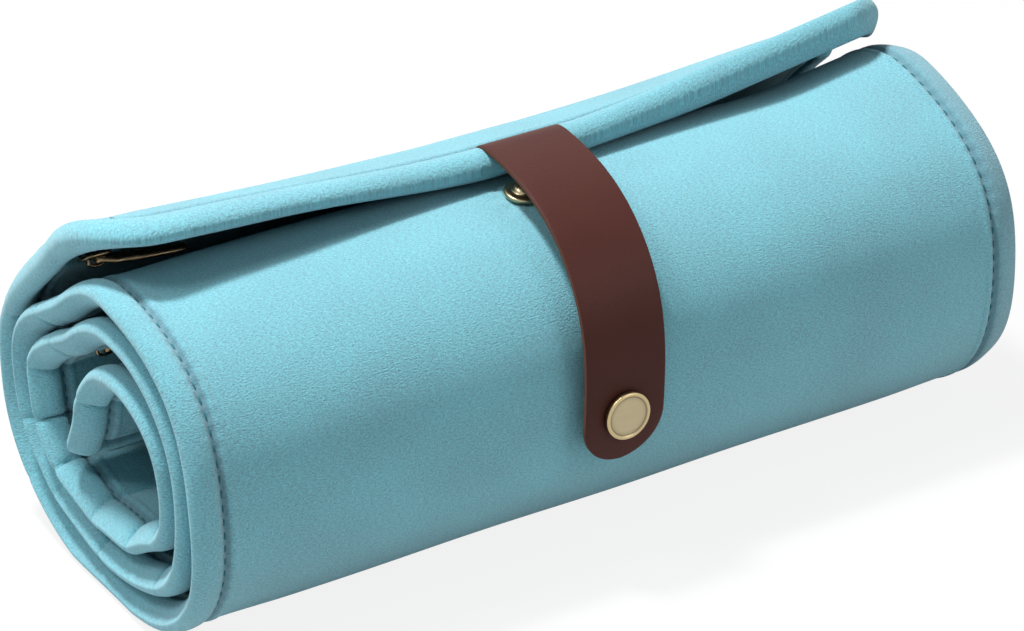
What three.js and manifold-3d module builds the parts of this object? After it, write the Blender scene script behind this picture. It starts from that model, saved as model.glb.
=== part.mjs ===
import * as THREE from 'three';
import { mergeVertices } from 'three/addons/utils/BufferGeometryUtils.js';
import ManifoldModule from 'manifold-3d';

const wasm = await ManifoldModule();
wasm.setup();

// Rolled size, millimetres. X runs along the roll, Y to the back, Z up.
const ROLL_LENGTH = 238;
const ROLL_DEPTH = 106;
const BODY_HEIGHT = 84.5;
const FOOT_PRESS = 1;

// Layers of the padded sheet.
const COVER_THICK = 1.1;
const PAD_THICK = 3.8;
const LINING_THICK = 1.1;
const LAYER_GAP = 0.3;
const SHEET = COVER_THICK + PAD_THICK + LINING_THICK + 2 * LAYER_GAP;
const HALF = SHEET / 2;

// Winding of the sheet, degrees from the top of the roll towards the back.
const TURN_GAP = 1.4;
const PITCH = SHEET + TURN_GAP;
const EDGE_ANGLE = -7;
const HINGE_ANGLE = 86;
const END_ANGLE = 1230;
const CURL_DEEP = 17.5;
const CURL_TALL = 5;
const CURL_START = 1020;
const CURL_SPAN = 130;
const HANG_START = 1150;
const HANG_SPAN = 120;
const HANG_PART = 0.95;
const TAIL_ANGLE = 1185;
const SHOULDER_BULGE = 0.064;
const SLOPE_FLAT = 8;
const SLOPE_LEAD = 8;
const SLOPE_RISE = 42;
const SLOPE_FADE = 40;
const SLOPE_END = 90;
const STATION_STEP = 18;
const FOOT_FRONT_ANGLE = 193;

// Flap stand-off.
const ZIP_LIFT = 3.2;
const ZIP_LIFT_RUN = 20;
const ZIP_LIFT_LEVEL = 8;
const END_LIFT = 12.8;
const LIFT_POWER = 1.2;
const LIFT_MARGIN = 1.5;
const EDGE_SKEW = 3.6;
const EDGE_SHIFT = -6.8;
const EDGE_EASE = 25;

// Edge binding.
const BIND_WIDE_OUT = 11;
const BIND_WIDE_IN = 9;
const BIND_THICK = 0.9;
const BIND_GAP = 0.3;
const BIND_PROUD = 0.4;
const BIND_ROUND_WIDE = 1.6;
const BIND_ROUND_DEEP = 1.8;
const FOLD_ROUND_WIDE = 0.4;
const FOLD_ROUND_DEEP = 0.8;
const LEG_NEAR = 4.5;
const LEG_FAR = 8;
const PINCH_RUN = 2;
const SPLIT_GAP = 0.5;

// Leather strap and snap.
const STRAP_X = -3.2;
const STRAP_SKEW = -3.4;
const STRAP_WIDE = 22.5;
const STRAP_THICK = 1.6;
const STRAP_ROOT = 9.5;
const STRAP_HINGE_ANGLE = 302;
const STRAP_TIP_ANGLE = 253.2;
const STRAP_GAP = 0.3;
const STRAP_EASE_ANGLE = 335;
const STRAP_EASE_SPAN = 63;
const STRAP_SPLIT_ANGLE = 0.3;
const STRAP_ROUND_ANGLE = 15;
const STRAP_STEP_ANGLE = 6;
const STRAP_TIP_HALF = 0.8;
const SNAP_ANGLE = 268.7;
const SPARE_ANGLE = 344;
const SPARE_ASIDE = 9;
const CAP_RADIUS = 6.2;
const CAP_THICK = 1.5;
const CAP_RIM = 0.9;
const CAP_RIM_RISE = 0.35;
const CAP_EDGE = 0.4;
const CAP_SLOPE = 0.25;
const POST_RADIUS = 1.5;
const POST_CLEAR = 0.3;
const SOCKET_RADIUS = 5.4;
const SOCKET_THICK = 1.8;
const SOCKET_BORE = 3.5;
const SOCKET_EDGE = 0.4;
const STUD_RADIUS = 4.8;
const STUD_FLANGE = 0.9;
const STUD_EDGE = 0.4;
const DOME_RADIUS = 3;
const DOME_RISE = 1.7;
const STUD_BACK_RADIUS = 4.2;
const STUD_BACK_THICK = 0.8;
const STUD_BACK_SINK = 0.8;
const SNAP_GAP = 0.3;
const CUT_PAST = 2;

// Zips.
const ZIP_FLAP_RUN = 36;
const ZIP_INNER_ANGLE = 778;
const TAPE_WIDE = 8;
const TAPE_THICK = 0.6;
const TAPE_GAP = 0.3;
const TAPE_END_GAP = 0.6;
const TEETH_IN = 0.8;
const TEETH_OUT = 2.2;
const TEETH_RISE = 1.6;
const ZIP_MOUTH = 4;
const GROOVE_HALF = 4.8;
const GROOVE_WEB = 0.9;
const STOP_LONG = 0.9;
const STOP_GAP = 0.3;
const SLIDER_LONG = 8;
const SLIDER_WIDE = 7;
const SLIDER_END_GAP = 0.4;
const PLATE_ROUND = 2;
const PLATE_STEP = 0.2;
const PLATE_TOP = 1;
const PLATE_BACK = 0.7;
const PLATE_CLEAR = 0.35;
const WEB_HALF = 0.45;
const WEB_LONG_HALF = 1.8;
const FUSE = 0.2;
const BAIL_WIDE = 1.4;
const BAIL_HALF = 2.5;
const BAIL_BAR = 0.8;
const BAIL_POST = 1;
const PULL_LONG = 24;
const PULL_WIDE = 6.4;
const PULL_NECK = 4.6;
const PULL_THICK = 0.8;
const PULL_BAR_HALF = 0.4;
const PULL_SHOULDER = 7;
const PULL_SPREAD = 5;
const PULL_EYE_SPARE = 0.5;
const PULL_CLEAR = 0.35;
const POCKET_THICK = 0.6;
const POCKET_CLEAR = 1.5;
const POCKET_START_GAP = 0.4;
const STEP_EASE = 0.01;
const POCKET_FLAP_MARGIN = 6;
const POCKET_INNER_DEEP = 90;

const AQUA = { color: 0x6fb8c8, roughness: 0.95, metalness: 0 };
const AQUA_LINING = { color: 0x7cc3d1, roughness: 0.95, metalness: 0 };
const FOAM = { color: 0xe9e7df, roughness: 1, metalness: 0 };
const TAPE = { color: 0x4f9aac, roughness: 0.9, metalness: 0 };
const LEATHER = { color: 0x4f2c25, roughness: 0.55, metalness: 0 };
const BRASS = { color: 0xc9b27a, roughness: 0.32, metalness: 1 };

const group = new THREE.Group();
const RAD = Math.PI / 180;
const HALF_DEEP = (ROLL_DEPTH + PITCH) / 2;
const HALF_TALL = (BODY_HEIGHT + FOOT_PRESS + 1.5 * PITCH) / 2;
const CENTRE_Y = -PITCH / 4;
const CENTRE_Z = BODY_HEIGHT + PITCH - HALF_TALL;

function smooth(t) {
  const c = Math.min(1, Math.max(0, t));
  return c * c * (3 - 2 * c);
}

// Middle line of the sheet at a winding angle. The tail past the last bend hangs straight.
function windPoint(angle) {
  if (angle > TAIL_ANGLE) {
    const [y, z] = windPoint(TAIL_ANGLE);
    const [yBefore, zBefore] = windPoint(TAIL_ANGLE - 1);
    const past = angle - TAIL_ANGLE;
    return [y + (y - yBefore) * past, z + (z - zBefore) * past];
  }
  const turn = angle * RAD;
  const lean = (angle + 540) % 360 - 180;
  const fade = 1 - smooth((lean - SLOPE_FADE) / (SLOPE_END - SLOPE_FADE));
  const curl = smooth((angle - CURL_START) / CURL_SPAN);
  const flat = SLOPE_FLAT * smooth((lean + SLOPE_LEAD) / SLOPE_RISE) * fade * (1 - curl);
  const sloped = lean >= 0 && lean < SLOPE_END;
  const swell = sloped ? 1 : 1 + SHOULDER_BULGE * Math.sin(2 * turn) ** 2;
  const hang = HANG_PART * smooth((angle - HANG_START) / HANG_SPAN);
  const inset = PITCH * angle / 360 + HALF + flat;
  const deep = HALF_DEEP - inset - CURL_DEEP * (curl - hang);
  const tall = HALF_TALL - inset - CURL_TALL * curl;
  const y = CENTRE_Y + deep * Math.sin(turn) * swell;
  const z = CENTRE_Z + tall * Math.cos(turn) * swell;
  return [y, Math.max(z, HALF)];
}

function windFrame(angle) {
  const [y, z] = windPoint(angle);
  const [ya, za] = windPoint(angle - 0.05);
  const [yb, zb] = windPoint(angle + 0.05);
  const long = Math.hypot(yb - ya, zb - za);
  const ty = (yb - ya) / long;
  const tz = (zb - za) / long;
  return { y, z, ty, tz, ny: -tz, nz: ty };
}

// Run length along the middle line, counted from the flap edge.
const RUN_STEP = 0.5;
const runTable = [0];
for (let a = EDGE_ANGLE; a < END_ANGLE; a += RUN_STEP) {
  const [ya, za] = windPoint(a);
  const [yb, zb] = windPoint(a + RUN_STEP);
  runTable.push(runTable.at(-1) + Math.hypot(yb - ya, zb - za));
}

function runOf(angle) {
  const k = (angle - EDGE_ANGLE) / RUN_STEP;
  const i = Math.min(runTable.length - 2, Math.max(0, Math.floor(k)));
  return runTable[i] + (k - i) * (runTable[i + 1] - runTable[i]);
}

function angleOf(run) {
  let low = 0;
  let high = runTable.length - 1;
  while (high - low > 1) {
    const mid = (low + high) >> 1;
    if (runTable[mid] <= run) low = mid;
    else high = mid;
  }
  const part = (run - runTable[low]) / (runTable[high] - runTable[low]);
  return EDGE_ANGLE + (low + part) * RUN_STEP;
}

const RUN_END = runOf(END_ANGLE);
const RUN_HINGE = runOf(HINGE_ANGLE);
const RUN_ZIP_INNER = runOf(ZIP_INNER_ANGLE);
const CORE_END = BIND_THICK + BIND_GAP;
const POCKET_FLAP_DEEP = RUN_HINGE - ZIP_FLAP_RUN - POCKET_FLAP_MARGIN;

// Share of the way from the strap, which holds the flap down, to an end of the roll.
function reach(x) {
  const held = STRAP_WIDE / 2;
  return Math.max(0, Math.abs(x - STRAP_X) - held) / (ROLL_LENGTH / 2 - held);
}

// Stand-off of the flap: a bulge over the zip, and an edge that rises to both ends.
function lift(run, x) {
  if (run >= RUN_HINGE) return 0;
  const first = ZIP_FLAP_RUN - ZIP_LIFT_LEVEL / 2;
  const last = ZIP_FLAP_RUN + ZIP_LIFT_LEVEL;
  const rise = smooth((run - first + ZIP_LIFT_RUN) / ZIP_LIFT_RUN);
  const fall = 1 - smooth((run - last) / (RUN_HINGE - SPLIT_GAP - last));
  const corner = END_LIFT * reach(x) ** LIFT_POWER;
  const tip = Math.max(0, (ZIP_FLAP_RUN - run) / ZIP_FLAP_RUN) ** 2;
  return ZIP_LIFT * rise * fall + corner * tip;
}

// The flap's edge lies a little askew: drawn back at its right end, and shifted along the roll.
function sheetPoint(run, x, depth) {
  const ease = Math.max(0, 1 - run / EDGE_EASE) ** 2;
  const f = windFrame(angleOf(run + EDGE_SKEW * 2 * x / ROLL_LENGTH * ease));
  const d = depth + lift(run, x);
  return new THREE.Vector3(x + EDGE_SHIFT * reach(x) * ease, f.y + f.ny * d, f.z + f.nz * d);
}

// Layers are pinched together under the binding.
function pinch(run, x, depth) {
  const edge = Math.min(ROLL_LENGTH / 2 - Math.abs(x), run, RUN_END - run);
  const open = smooth((edge - BIND_WIDE_OUT - BIND_GAP) / PINCH_RUN);
  const low = -HALF - BIND_PROUD + BIND_THICK + BIND_GAP;
  const high = HALF - BIND_THICK - BIND_GAP;
  const tight = low + (depth + HALF) * (high - low) / SHEET;
  return tight + (depth - tight) * open;
}

function layerPoint(run, x, depth) {
  return sheetPoint(run, x, pinch(run, x, depth));
}

// Closed outward body from loose triangles.
function solid(geometry) {
  geometry.deleteAttribute('normal');
  geometry.deleteAttribute('uv');
  const merged = mergeVertices(geometry, 1e-4);
  const pos = merged.getAttribute('position');
  const old = merged.getIndex().array;
  const keep = [];
  let volume = 0;
  const a = new THREE.Vector3();
  const b = new THREE.Vector3();
  const c = new THREE.Vector3();
  for (let i = 0; i < old.length; i += 3) {
    const [p, q, r] = [old[i], old[i + 1], old[i + 2]];
    if (p === q || q === r || r === p) continue;
    a.fromBufferAttribute(pos, p);
    b.fromBufferAttribute(pos, q);
    c.fromBufferAttribute(pos, r);
    volume += a.dot(b.cross(c));
    keep.push(p, q, r);
  }
  if (volume < 0) {
    for (let i = 0; i < keep.length; i += 3) {
      [keep[i], keep[i + 1]] = [keep[i + 1], keep[i]];
    }
  }
  merged.setIndex(keep);
  return merged;
}

// Loft of one closed outline through a row of stations.
function loft(outline, stations, place, capFaces = sectionCaps) {
  const count = outline.length;
  const spots = [];
  const faces = [];
  for (const s of stations) {
    for (const p of outline) {
      const v = place(p, s);
      spots.push(v.x, v.y, v.z);
    }
  }
  for (let i = 0; i + 1 < stations.length; i++) {
    for (let j = 0; j < count; j++) {
      const k = (j + 1) % count;
      const a = i * count + j;
      const b = i * count + k;
      if (j < count / 2) faces.push(a, b, a + count, b, b + count, a + count);
      else faces.push(a, b, b + count, a, b + count, a + count);
    }
  }
  const last = (stations.length - 1) * count;
  for (const [a, b, c] of capFaces(outline)) {
    faces.push(a, c, b, last + a, last + b, last + c);
  }
  const g = new THREE.BufferGeometry();
  g.setAttribute('position', new THREE.Float32BufferAttribute(spots, 3));
  g.setIndex(faces);
  return solid(g);
}

// End faces of a free outline, wound the same way as the outline itself.
function sectionCaps(outline) {
  const flat = outline.map(([p, q]) => new THREE.Vector2(p, q));
  const turned = THREE.ShapeUtils.isClockWise(flat);
  const faces = THREE.ShapeUtils.triangulateShape(flat, []);
  return turned ? faces.map(([a, b, c]) => [a, c, b]) : faces;
}

// End faces of a band whose two long sides carry matching points.
function ladderCaps(outline) {
  const last = outline.length - 1;
  const faces = [];
  for (let i = 0; i < outline.length / 2 - 1; i++) {
    faces.push([i, i + 1, last - i], [i + 1, last - i - 1, last - i]);
  }
  return faces;
}

function ladder(columns) {
  const high = columns.map(([u, , top]) => [u, top]);
  const low = columns.map(([u, bottom]) => [u, bottom]);
  return [...high, ...low.reverse()];
}

function toManifold(geometry) {
  const vertProperties = new Float32Array(geometry.getAttribute('position').array);
  const triVerts = new Uint32Array(geometry.getIndex().array);
  return new wasm.Manifold(new wasm.Mesh({ numProp: 3, vertProperties, triVerts }));
}

function fromManifold(body) {
  const mesh = body.getMesh();
  const g = new THREE.BufferGeometry();
  g.setAttribute('position', new THREE.BufferAttribute(mesh.vertProperties, 3));
  g.setIndex(new THREE.BufferAttribute(mesh.triVerts, 1));
  return solid(g);
}

function cut(geometry, tools) {
  return fromManifold(tools.reduce((m, t) => m.subtract(toManifold(t)), toManifold(geometry)));
}

function join(parts) {
  return fromManifold(parts.map(toManifold).reduce((m, t) => m.add(t)));
}

function add(name, geometry, look) {
  geometry.computeVertexNormals();
  const mesh = new THREE.Mesh(geometry, new THREE.MeshStandardMaterial(look));
  mesh.name = name;
  group.add(mesh);
}

// Depths of the layers, measured outwards from the middle line.
const COVER_LOW = HALF - COVER_THICK;
const PAD_HIGH = COVER_LOW - LAYER_GAP;
const PAD_LOW = PAD_HIGH - PAD_THICK;
const LINING_HIGH = -HALF + LINING_THICK;
const WEB_LEVEL = PAD_HIGH - GROOVE_WEB;
const TAPE_LOW = LINING_HIGH + TAPE_GAP;
const TAPE_HIGH = TAPE_LOW + TAPE_THICK;
const TAPE_LEVEL = TAPE_HIGH + TAPE_GAP;
const POCKET_LEVEL = TAPE_LEVEL + POCKET_THICK + TAPE_GAP;
const TAPE_FAR = TEETH_OUT + LAYER_GAP + TAPE_WIDE;
const TEETH_LOW = TAPE_LOW - (TEETH_RISE - TAPE_THICK) / 2;

// Stations along the winding, shared by all layers so that they nest.
function zipMarks(run, deep) {
  return [run - TAPE_FAR - TAPE_GAP, run - GROOVE_HALF, run + GROOVE_HALF, run + deep + POCKET_CLEAR];
}

const PINCH_EDGE = BIND_WIDE_OUT + BIND_GAP;
const PAD_EDGE = PINCH_EDGE + PINCH_RUN;
const LEG_MARKS = [LEG_NEAR, LEG_FAR];
const EDGE_MARKS = [CORE_END, ...LEG_MARKS, PINCH_EDGE, PINCH_EDGE + PINCH_RUN];
const SHARED_RUNS = [
  ...EDGE_MARKS,
  runOf(FOOT_FRONT_ANGLE),
  ...zipMarks(ZIP_FLAP_RUN, POCKET_FLAP_DEEP),
  ZIP_FLAP_RUN + TAPE_FAR,
  ...zipMarks(RUN_ZIP_INNER, POCKET_INNER_DEEP),
  RUN_ZIP_INNER + TAPE_FAR,
  ...EDGE_MARKS.map((e) => RUN_END - e),
];
for (let a = 0; a < END_ANGLE; a += STATION_STEP) {
  const r = runOf(a);
  const clear = SHARED_RUNS.every((v) => Math.abs(v - r) > 1.5);
  if (clear && r > PINCH_EDGE && r < RUN_END - PINCH_EDGE) SHARED_RUNS.push(r);
}

function runStations(from, to) {
  const inside = SHARED_RUNS.filter((r) => r > from + 0.3 && r < to - 0.3);
  return [from, ...inside.sort((p, q) => p - q), to];
}

const TIGHT_X = ROLL_LENGTH / 2 - PINCH_EDGE;
const OPEN_X = TIGHT_X - PINCH_RUN;

function pinchedStations(inner, far) {
  return [-far, -TIGHT_X, -OPEN_X, ...inner, OPEN_X, TIGHT_X, far];
}

function skinStations(inner) {
  return pinchedStations(inner, ROLL_LENGTH / 2 - CORE_END);
}

function padStations(inner) {
  return [-OPEN_X, ...inner, OPEN_X];
}

const HELD_HALF = STRAP_WIDE / 2 + LIFT_MARGIN;
const RIGHT_X = [0.12, 0.2, 0.28, 0.37].map((part) => part * ROLL_LENGTH);
const LEFT_X = RIGHT_X.map((x) => -x).reverse();
const FLAP_X = [...LEFT_X, STRAP_X - HELD_HALF, STRAP_X + HELD_HALF, ...RIGHT_X];

// Band of the sheet between two depths, with optional steps on its inner side.
function band(from, to, low, high, xs, steps = []) {
  const inside = steps.filter((q) => q.run > from && q.run < to);
  const levelAt = (r) => inside.reduce((level, q) => (r > q.run ? q.level : level), low);
  const runs = runStations(from, to);
  const plain = runs.filter((r) => inside.every((q) => Math.abs(r - q.run) > 0.6));
  const marks = inside.flatMap((q) => [q.run - STEP_EASE, q.run + STEP_EASE]);
  const columns = [...plain, ...marks].sort((p, q) => p - q).map((r) => [r, levelAt(r), high]);
  const place = ([r, d], x) => layerPoint(r, x, d);
  return loft(ladder(columns), xs, place, ladderCaps);
}

// Steps in the padding that make room for a zip and the pocket behind it.
function zipSteps(run, deep) {
  const levels = [TAPE_LEVEL, WEB_LEVEL, POCKET_LEVEL, PAD_LOW];
  return zipMarks(run, deep).map((mark, i) => ({ run: mark, level: levels[i] }));
}

// Frame on the outer or inner side of the sheet: local X along the roll, local Z away from it.
function seatFrame(run, x, side) {
  const f = windFrame(angleOf(run));
  const d = lift(run, x);
  const up = new THREE.Vector3(0, f.ny * side, f.nz * side);
  const along = new THREE.Vector3(1, 0, 0);
  const across = new THREE.Vector3().crossVectors(up, along);
  const m = new THREE.Matrix4().makeBasis(along, across, up);
  m.setPosition(x, f.y + f.ny * d, f.z + f.nz * d);
  return m;
}

function revolve(profile, segments, matrix) {
  const points = profile.map(([r, h]) => new THREE.Vector2(r, h));
  const g = new THREE.LatheGeometry(points, segments);
  g.rotateX(Math.PI / 2);
  g.applyMatrix4(matrix);
  return solid(g);
}

function rod(radius, low, high, matrix) {
  const g = new THREE.CylinderGeometry(radius, radius, high - low, 24);
  g.rotateX(Math.PI / 2);
  g.translate(0, 0, (low + high) / 2);
  g.applyMatrix4(matrix);
  return solid(g);
}

function block(x0, x1, y0, y1, z0, z1) {
  const g = new THREE.BoxGeometry(x1 - x0, y1 - y0, z1 - z0);
  g.translate((x0 + x1) / 2, (y0 + y1) / 2, (z0 + z1) / 2);
  return solid(g);
}

function slab(shape, z0, z1) {
  const g = new THREE.ExtrudeGeometry(shape, { depth: z1 - z0, bevelEnabled: false, curveSegments: 4 });
  g.translate(0, 0, z0);
  return solid(g);
}

function roundedShape(x0, x1, y0, y1, r) {
  const s = new THREE.Shape();
  s.moveTo(x0 + r, y0);
  s.lineTo(x1 - r, y0);
  s.absarc(x1 - r, y0 + r, r, -Math.PI / 2, 0);
  s.lineTo(x1, y1 - r);
  s.absarc(x1 - r, y1 - r, r, 0, Math.PI / 2);
  s.lineTo(x0 + r, y1);
  s.absarc(x0 + r, y1 - r, r, Math.PI / 2, Math.PI);
  s.lineTo(x0, y0 + r);
  s.absarc(x0 + r, y0 + r, r, Math.PI, Math.PI * 1.5);
  return s;
}

// Middle of the strap along the roll, by winding angle. The strap lies a little askew, like the flap's edge.
const STRAP_ROOT_ANGLE = 360 + angleOf(STRAP_ROOT);

function strapMiddle(angle) {
  return STRAP_X + STRAP_SKEW * (STRAP_ROOT_ANGLE - angle) / (STRAP_ROOT_ANGLE - STRAP_TIP_ANGLE);
}

// Snap studs on the outside of the roll, one in use and one spare for a fuller roll.
const STUD_FOOT = HALF + SNAP_GAP;
const STUD_BACK_HIGH = COVER_LOW - STUD_BACK_SINK;
const studSeats = [
  ['lower', seatFrame(runOf(SNAP_ANGLE), strapMiddle(SNAP_ANGLE), 1)],
  ['upper', seatFrame(runOf(SPARE_ANGLE), strapMiddle(SPARE_ANGLE) - SPARE_ASIDE, 1)],
];

function addSnapStuds() {
  for (const [place, seat] of studSeats) {
    const end = STUD_BACK_HIGH + SNAP_GAP;
    const profile = [[0, end], [POST_RADIUS, end], [POST_RADIUS, STUD_FOOT]];
    profile.push([STUD_RADIUS, STUD_FOOT], [STUD_RADIUS, STUD_FOOT + STUD_FLANGE - STUD_EDGE]);
    profile.push([STUD_RADIUS - STUD_EDGE, STUD_FOOT + STUD_FLANGE]);
    for (let i = 0; i <= 5; i++) {
      const t = i / 5 * Math.PI / 2;
      const h = STUD_FOOT + STUD_FLANGE + DOME_RISE * Math.sin(t);
      profile.push([i === 5 ? 0 : DOME_RADIUS * Math.cos(t), h]);
    }
    add(`snap_stud_${place}`, revolve(profile, 20, seat), BRASS);
    const back = rod(STUD_BACK_RADIUS, STUD_BACK_HIGH - STUD_BACK_THICK, STUD_BACK_HIGH, seat);
    add(`stud_back_${place}`, back, BRASS);
  }
}

// Wound part of the sheet. The padding stops short of the bound edges.
function addWoundSheet() {
  const from = RUN_HINGE + SPLIT_GAP;
  const to = RUN_END - CORE_END;
  const skin = skinStations([]);
  const cover = band(from, to, COVER_LOW, HALF, skin);
  const holes = studSeats.map(([, m]) => rod(POST_RADIUS + POST_CLEAR, 0, HALF + CUT_PAST, m));
  add('cover_wound', cut(cover, holes), AQUA);
  const steps = zipSteps(RUN_ZIP_INNER, POCKET_INNER_DEEP);
  const pad = band(from, RUN_END - PAD_EDGE, PAD_LOW, PAD_HIGH, padStations([]), steps);
  const wells = studSeats.map(([, m]) => {
    const floor = STUD_BACK_HIGH - STUD_BACK_THICK - SNAP_GAP;
    return rod(STUD_BACK_RADIUS + SNAP_GAP, floor, HALF + CUT_PAST, m);
  });
  add('padding_wound', cut(pad, wells), FOAM);
  const mouth = [RUN_ZIP_INNER - ZIP_MOUTH, RUN_ZIP_INNER + ZIP_MOUTH];
  add('lining_middle', band(from, mouth[0], -HALF, LINING_HIGH, skin), AQUA_LINING);
  add('lining_inner', band(mouth[1], to, -HALF, LINING_HIGH, skin), AQUA_LINING);
}

function addFlapSheet() {
  const to = RUN_HINGE;
  const skin = skinStations(FLAP_X);
  add('cover_flap', band(CORE_END, to, COVER_LOW, HALF, skin), AQUA);
  const steps = zipSteps(ZIP_FLAP_RUN, POCKET_FLAP_DEEP);
  const pad = band(PAD_EDGE, to, PAD_LOW, PAD_HIGH, padStations(FLAP_X), steps);
  add('padding_flap', pad, FOAM);
  const mouth = [ZIP_FLAP_RUN - ZIP_MOUTH, ZIP_FLAP_RUN + ZIP_MOUTH];
  add('lining_flap_edge', band(CORE_END, mouth[0], -HALF, LINING_HIGH, skin), AQUA_LINING);
  add('lining_flap_back', band(mouth[1], to, -HALF, LINING_HIGH, skin), AQUA_LINING);
}

// Folded strip round an edge: distances in from the edge, depths across the sheet.
function bindingSection(legMarks) {
  const low = -HALF - BIND_PROUD;
  const t = BIND_THICK;
  const legs = legMarks.filter((e) => e < BIND_WIDE_IN - 0.5);
  const back = [...legs].reverse();
  const outer = [[BIND_WIDE_OUT, HALF], ...back.map((e) => [e, HALF])];
  outer.push([BIND_ROUND_WIDE, HALF], [0, HALF - BIND_ROUND_DEEP]);
  outer.push([0, low + BIND_ROUND_DEEP], [BIND_ROUND_WIDE, low]);
  outer.push(...legs.map((e) => [e, low]), [BIND_WIDE_IN, low]);
  const inner = [[BIND_WIDE_OUT, HALF - t], ...back.map((e) => [e, HALF - t])];
  inner.push([t + FOLD_ROUND_WIDE, HALF - t], [t, HALF - t - FOLD_ROUND_DEEP]);
  inner.push([t, low + t + FOLD_ROUND_DEEP], [t + FOLD_ROUND_WIDE, low + t]);
  inner.push(...legs.map((e) => [e, low + t]), [BIND_WIDE_IN, low + t]);
  return [...outer, ...inner.reverse()];
}

function addBindings() {
  const section = bindingSection([]);
  const bent = bindingSection(LEG_MARKS);
  const spans = [
    ['flap', 0, RUN_HINGE],
    ['wound', RUN_HINGE + SPLIT_GAP, RUN_END],
  ];
  for (const [end, side] of [['left', -1], ['right', 1]]) {
    const place = ([e, d], r) => sheetPoint(r, side * (ROLL_LENGTH / 2 - e), d);
    for (const [part, from, to] of spans) {
      const strip = loft(section, runStations(from, to), place, ladderCaps);
      add(`binding_${end}_${part}`, strip, AQUA);
    }
  }
  const across = [-TIGHT_X, -OPEN_X, ...FLAP_X, OPEN_X, TIGHT_X];
  const head = loft(bent, across, ([e, d], x) => sheetPoint(e, x, d), ladderCaps);
  add('binding_flap_edge', head, AQUA);
  const onTail = ([e, d], x) => sheetPoint(RUN_END - e, x, d);
  add('binding_inner_end', loft(bent, [-TIGHT_X, TIGHT_X], onTail, ladderCaps), AQUA);
}

// Leather strap: stand-off of its middle over the roll, by winding angle.
const STRAP_HIGH = PITCH + STRAP_GAP + STRAP_THICK / 2;
const STRAP_LOW = 2 * SNAP_GAP + STUD_FLANGE + SOCKET_THICK + SNAP_GAP + STRAP_THICK / 2;

function strapPoint(angle, x, depth) {
  const f = windFrame(angle);
  const ease = smooth((STRAP_EASE_ANGLE - angle) / STRAP_EASE_SPAN);
  const d = HALF + STRAP_HIGH + (STRAP_LOW - STRAP_HIGH) * ease + depth;
  return new THREE.Vector3(x, f.y + f.ny * d, f.z + f.nz * d);
}

function strapBand(angles, halfWide) {
  const t = STRAP_THICK / 2;
  const outline = [[-1, -t], [1, -t], [1, t], [-1, t]];
  return loft(outline, angles, ([e, d], a) => strapPoint(a, strapMiddle(a) + e * halfWide(a), d));
}

function addStrap() {
  const upper = [];
  for (let i = 0; i <= 12; i++) {
    upper.push(STRAP_ROOT_ANGLE + (STRAP_HINGE_ANGLE + STRAP_SPLIT_ANGLE - STRAP_ROOT_ANGLE) * i / 12);
  }
  add('strap_root', strapBand(upper, () => STRAP_WIDE / 2), LEATHER);
  const tip = strapPoint(STRAP_TIP_ANGLE, 0, 0);
  const round = STRAP_WIDE / 2;
  const halfWide = (a) => {
    const rest = tip.distanceTo(strapPoint(a, 0, 0));
    if (rest >= round) return round;
    return Math.max(STRAP_TIP_HALF, Math.sqrt(round ** 2 - (round - rest) ** 2));
  };
  const lower = [];
  const blend = STRAP_TIP_ANGLE + STRAP_ROUND_ANGLE;
  const split = STRAP_HINGE_ANGLE - STRAP_SPLIT_ANGLE;
  for (let a = split; a > blend; a -= STRAP_STEP_ANGLE) lower.push(a);
  for (let i = 0; i <= 8; i++) {
    lower.push(STRAP_TIP_ANGLE + (blend - STRAP_TIP_ANGLE) * (1 - Math.sin(i / 8 * Math.PI / 2)));
  }
  const seat = studSeats[0][1];
  const hole = rod(POST_RADIUS + POST_CLEAR, HALF, HALF + STRAP_HIGH, seat);
  add('strap_tongue', cut(strapBand(lower, halfWide), [hole]), LEATHER);
  const under = HALF + STRAP_LOW - STRAP_THICK / 2;
  const face = under + STRAP_THICK + SNAP_GAP;
  const cap = [[0, under], [POST_RADIUS, under], [POST_RADIUS, face], [CAP_RADIUS - CAP_EDGE, face]];
  cap.push([CAP_RADIUS, face + CAP_EDGE], [CAP_RADIUS, face + CAP_THICK - CAP_EDGE]);
  cap.push([CAP_RADIUS - CAP_EDGE, face + CAP_THICK], [CAP_RADIUS - CAP_RIM, face + CAP_THICK]);
  cap.push([CAP_RADIUS - CAP_RIM - CAP_SLOPE, face + CAP_THICK - CAP_RIM_RISE]);
  cap.push([0, face + CAP_THICK - CAP_RIM_RISE]);
  add('snap_cap', revolve(cap, 32, seat), BRASS);
  const low = STUD_FOOT + STUD_FLANGE + SNAP_GAP;
  const high = low + SOCKET_THICK;
  const ring = [[SOCKET_BORE, low], [SOCKET_RADIUS - SOCKET_EDGE, low]];
  ring.push([SOCKET_RADIUS, low + SOCKET_EDGE]);
  ring.push([SOCKET_RADIUS, high], [SOCKET_BORE, high], [SOCKET_BORE, low]);
  add('snap_socket', revolve(ring, 24, seat), BRASS);
}

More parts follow.
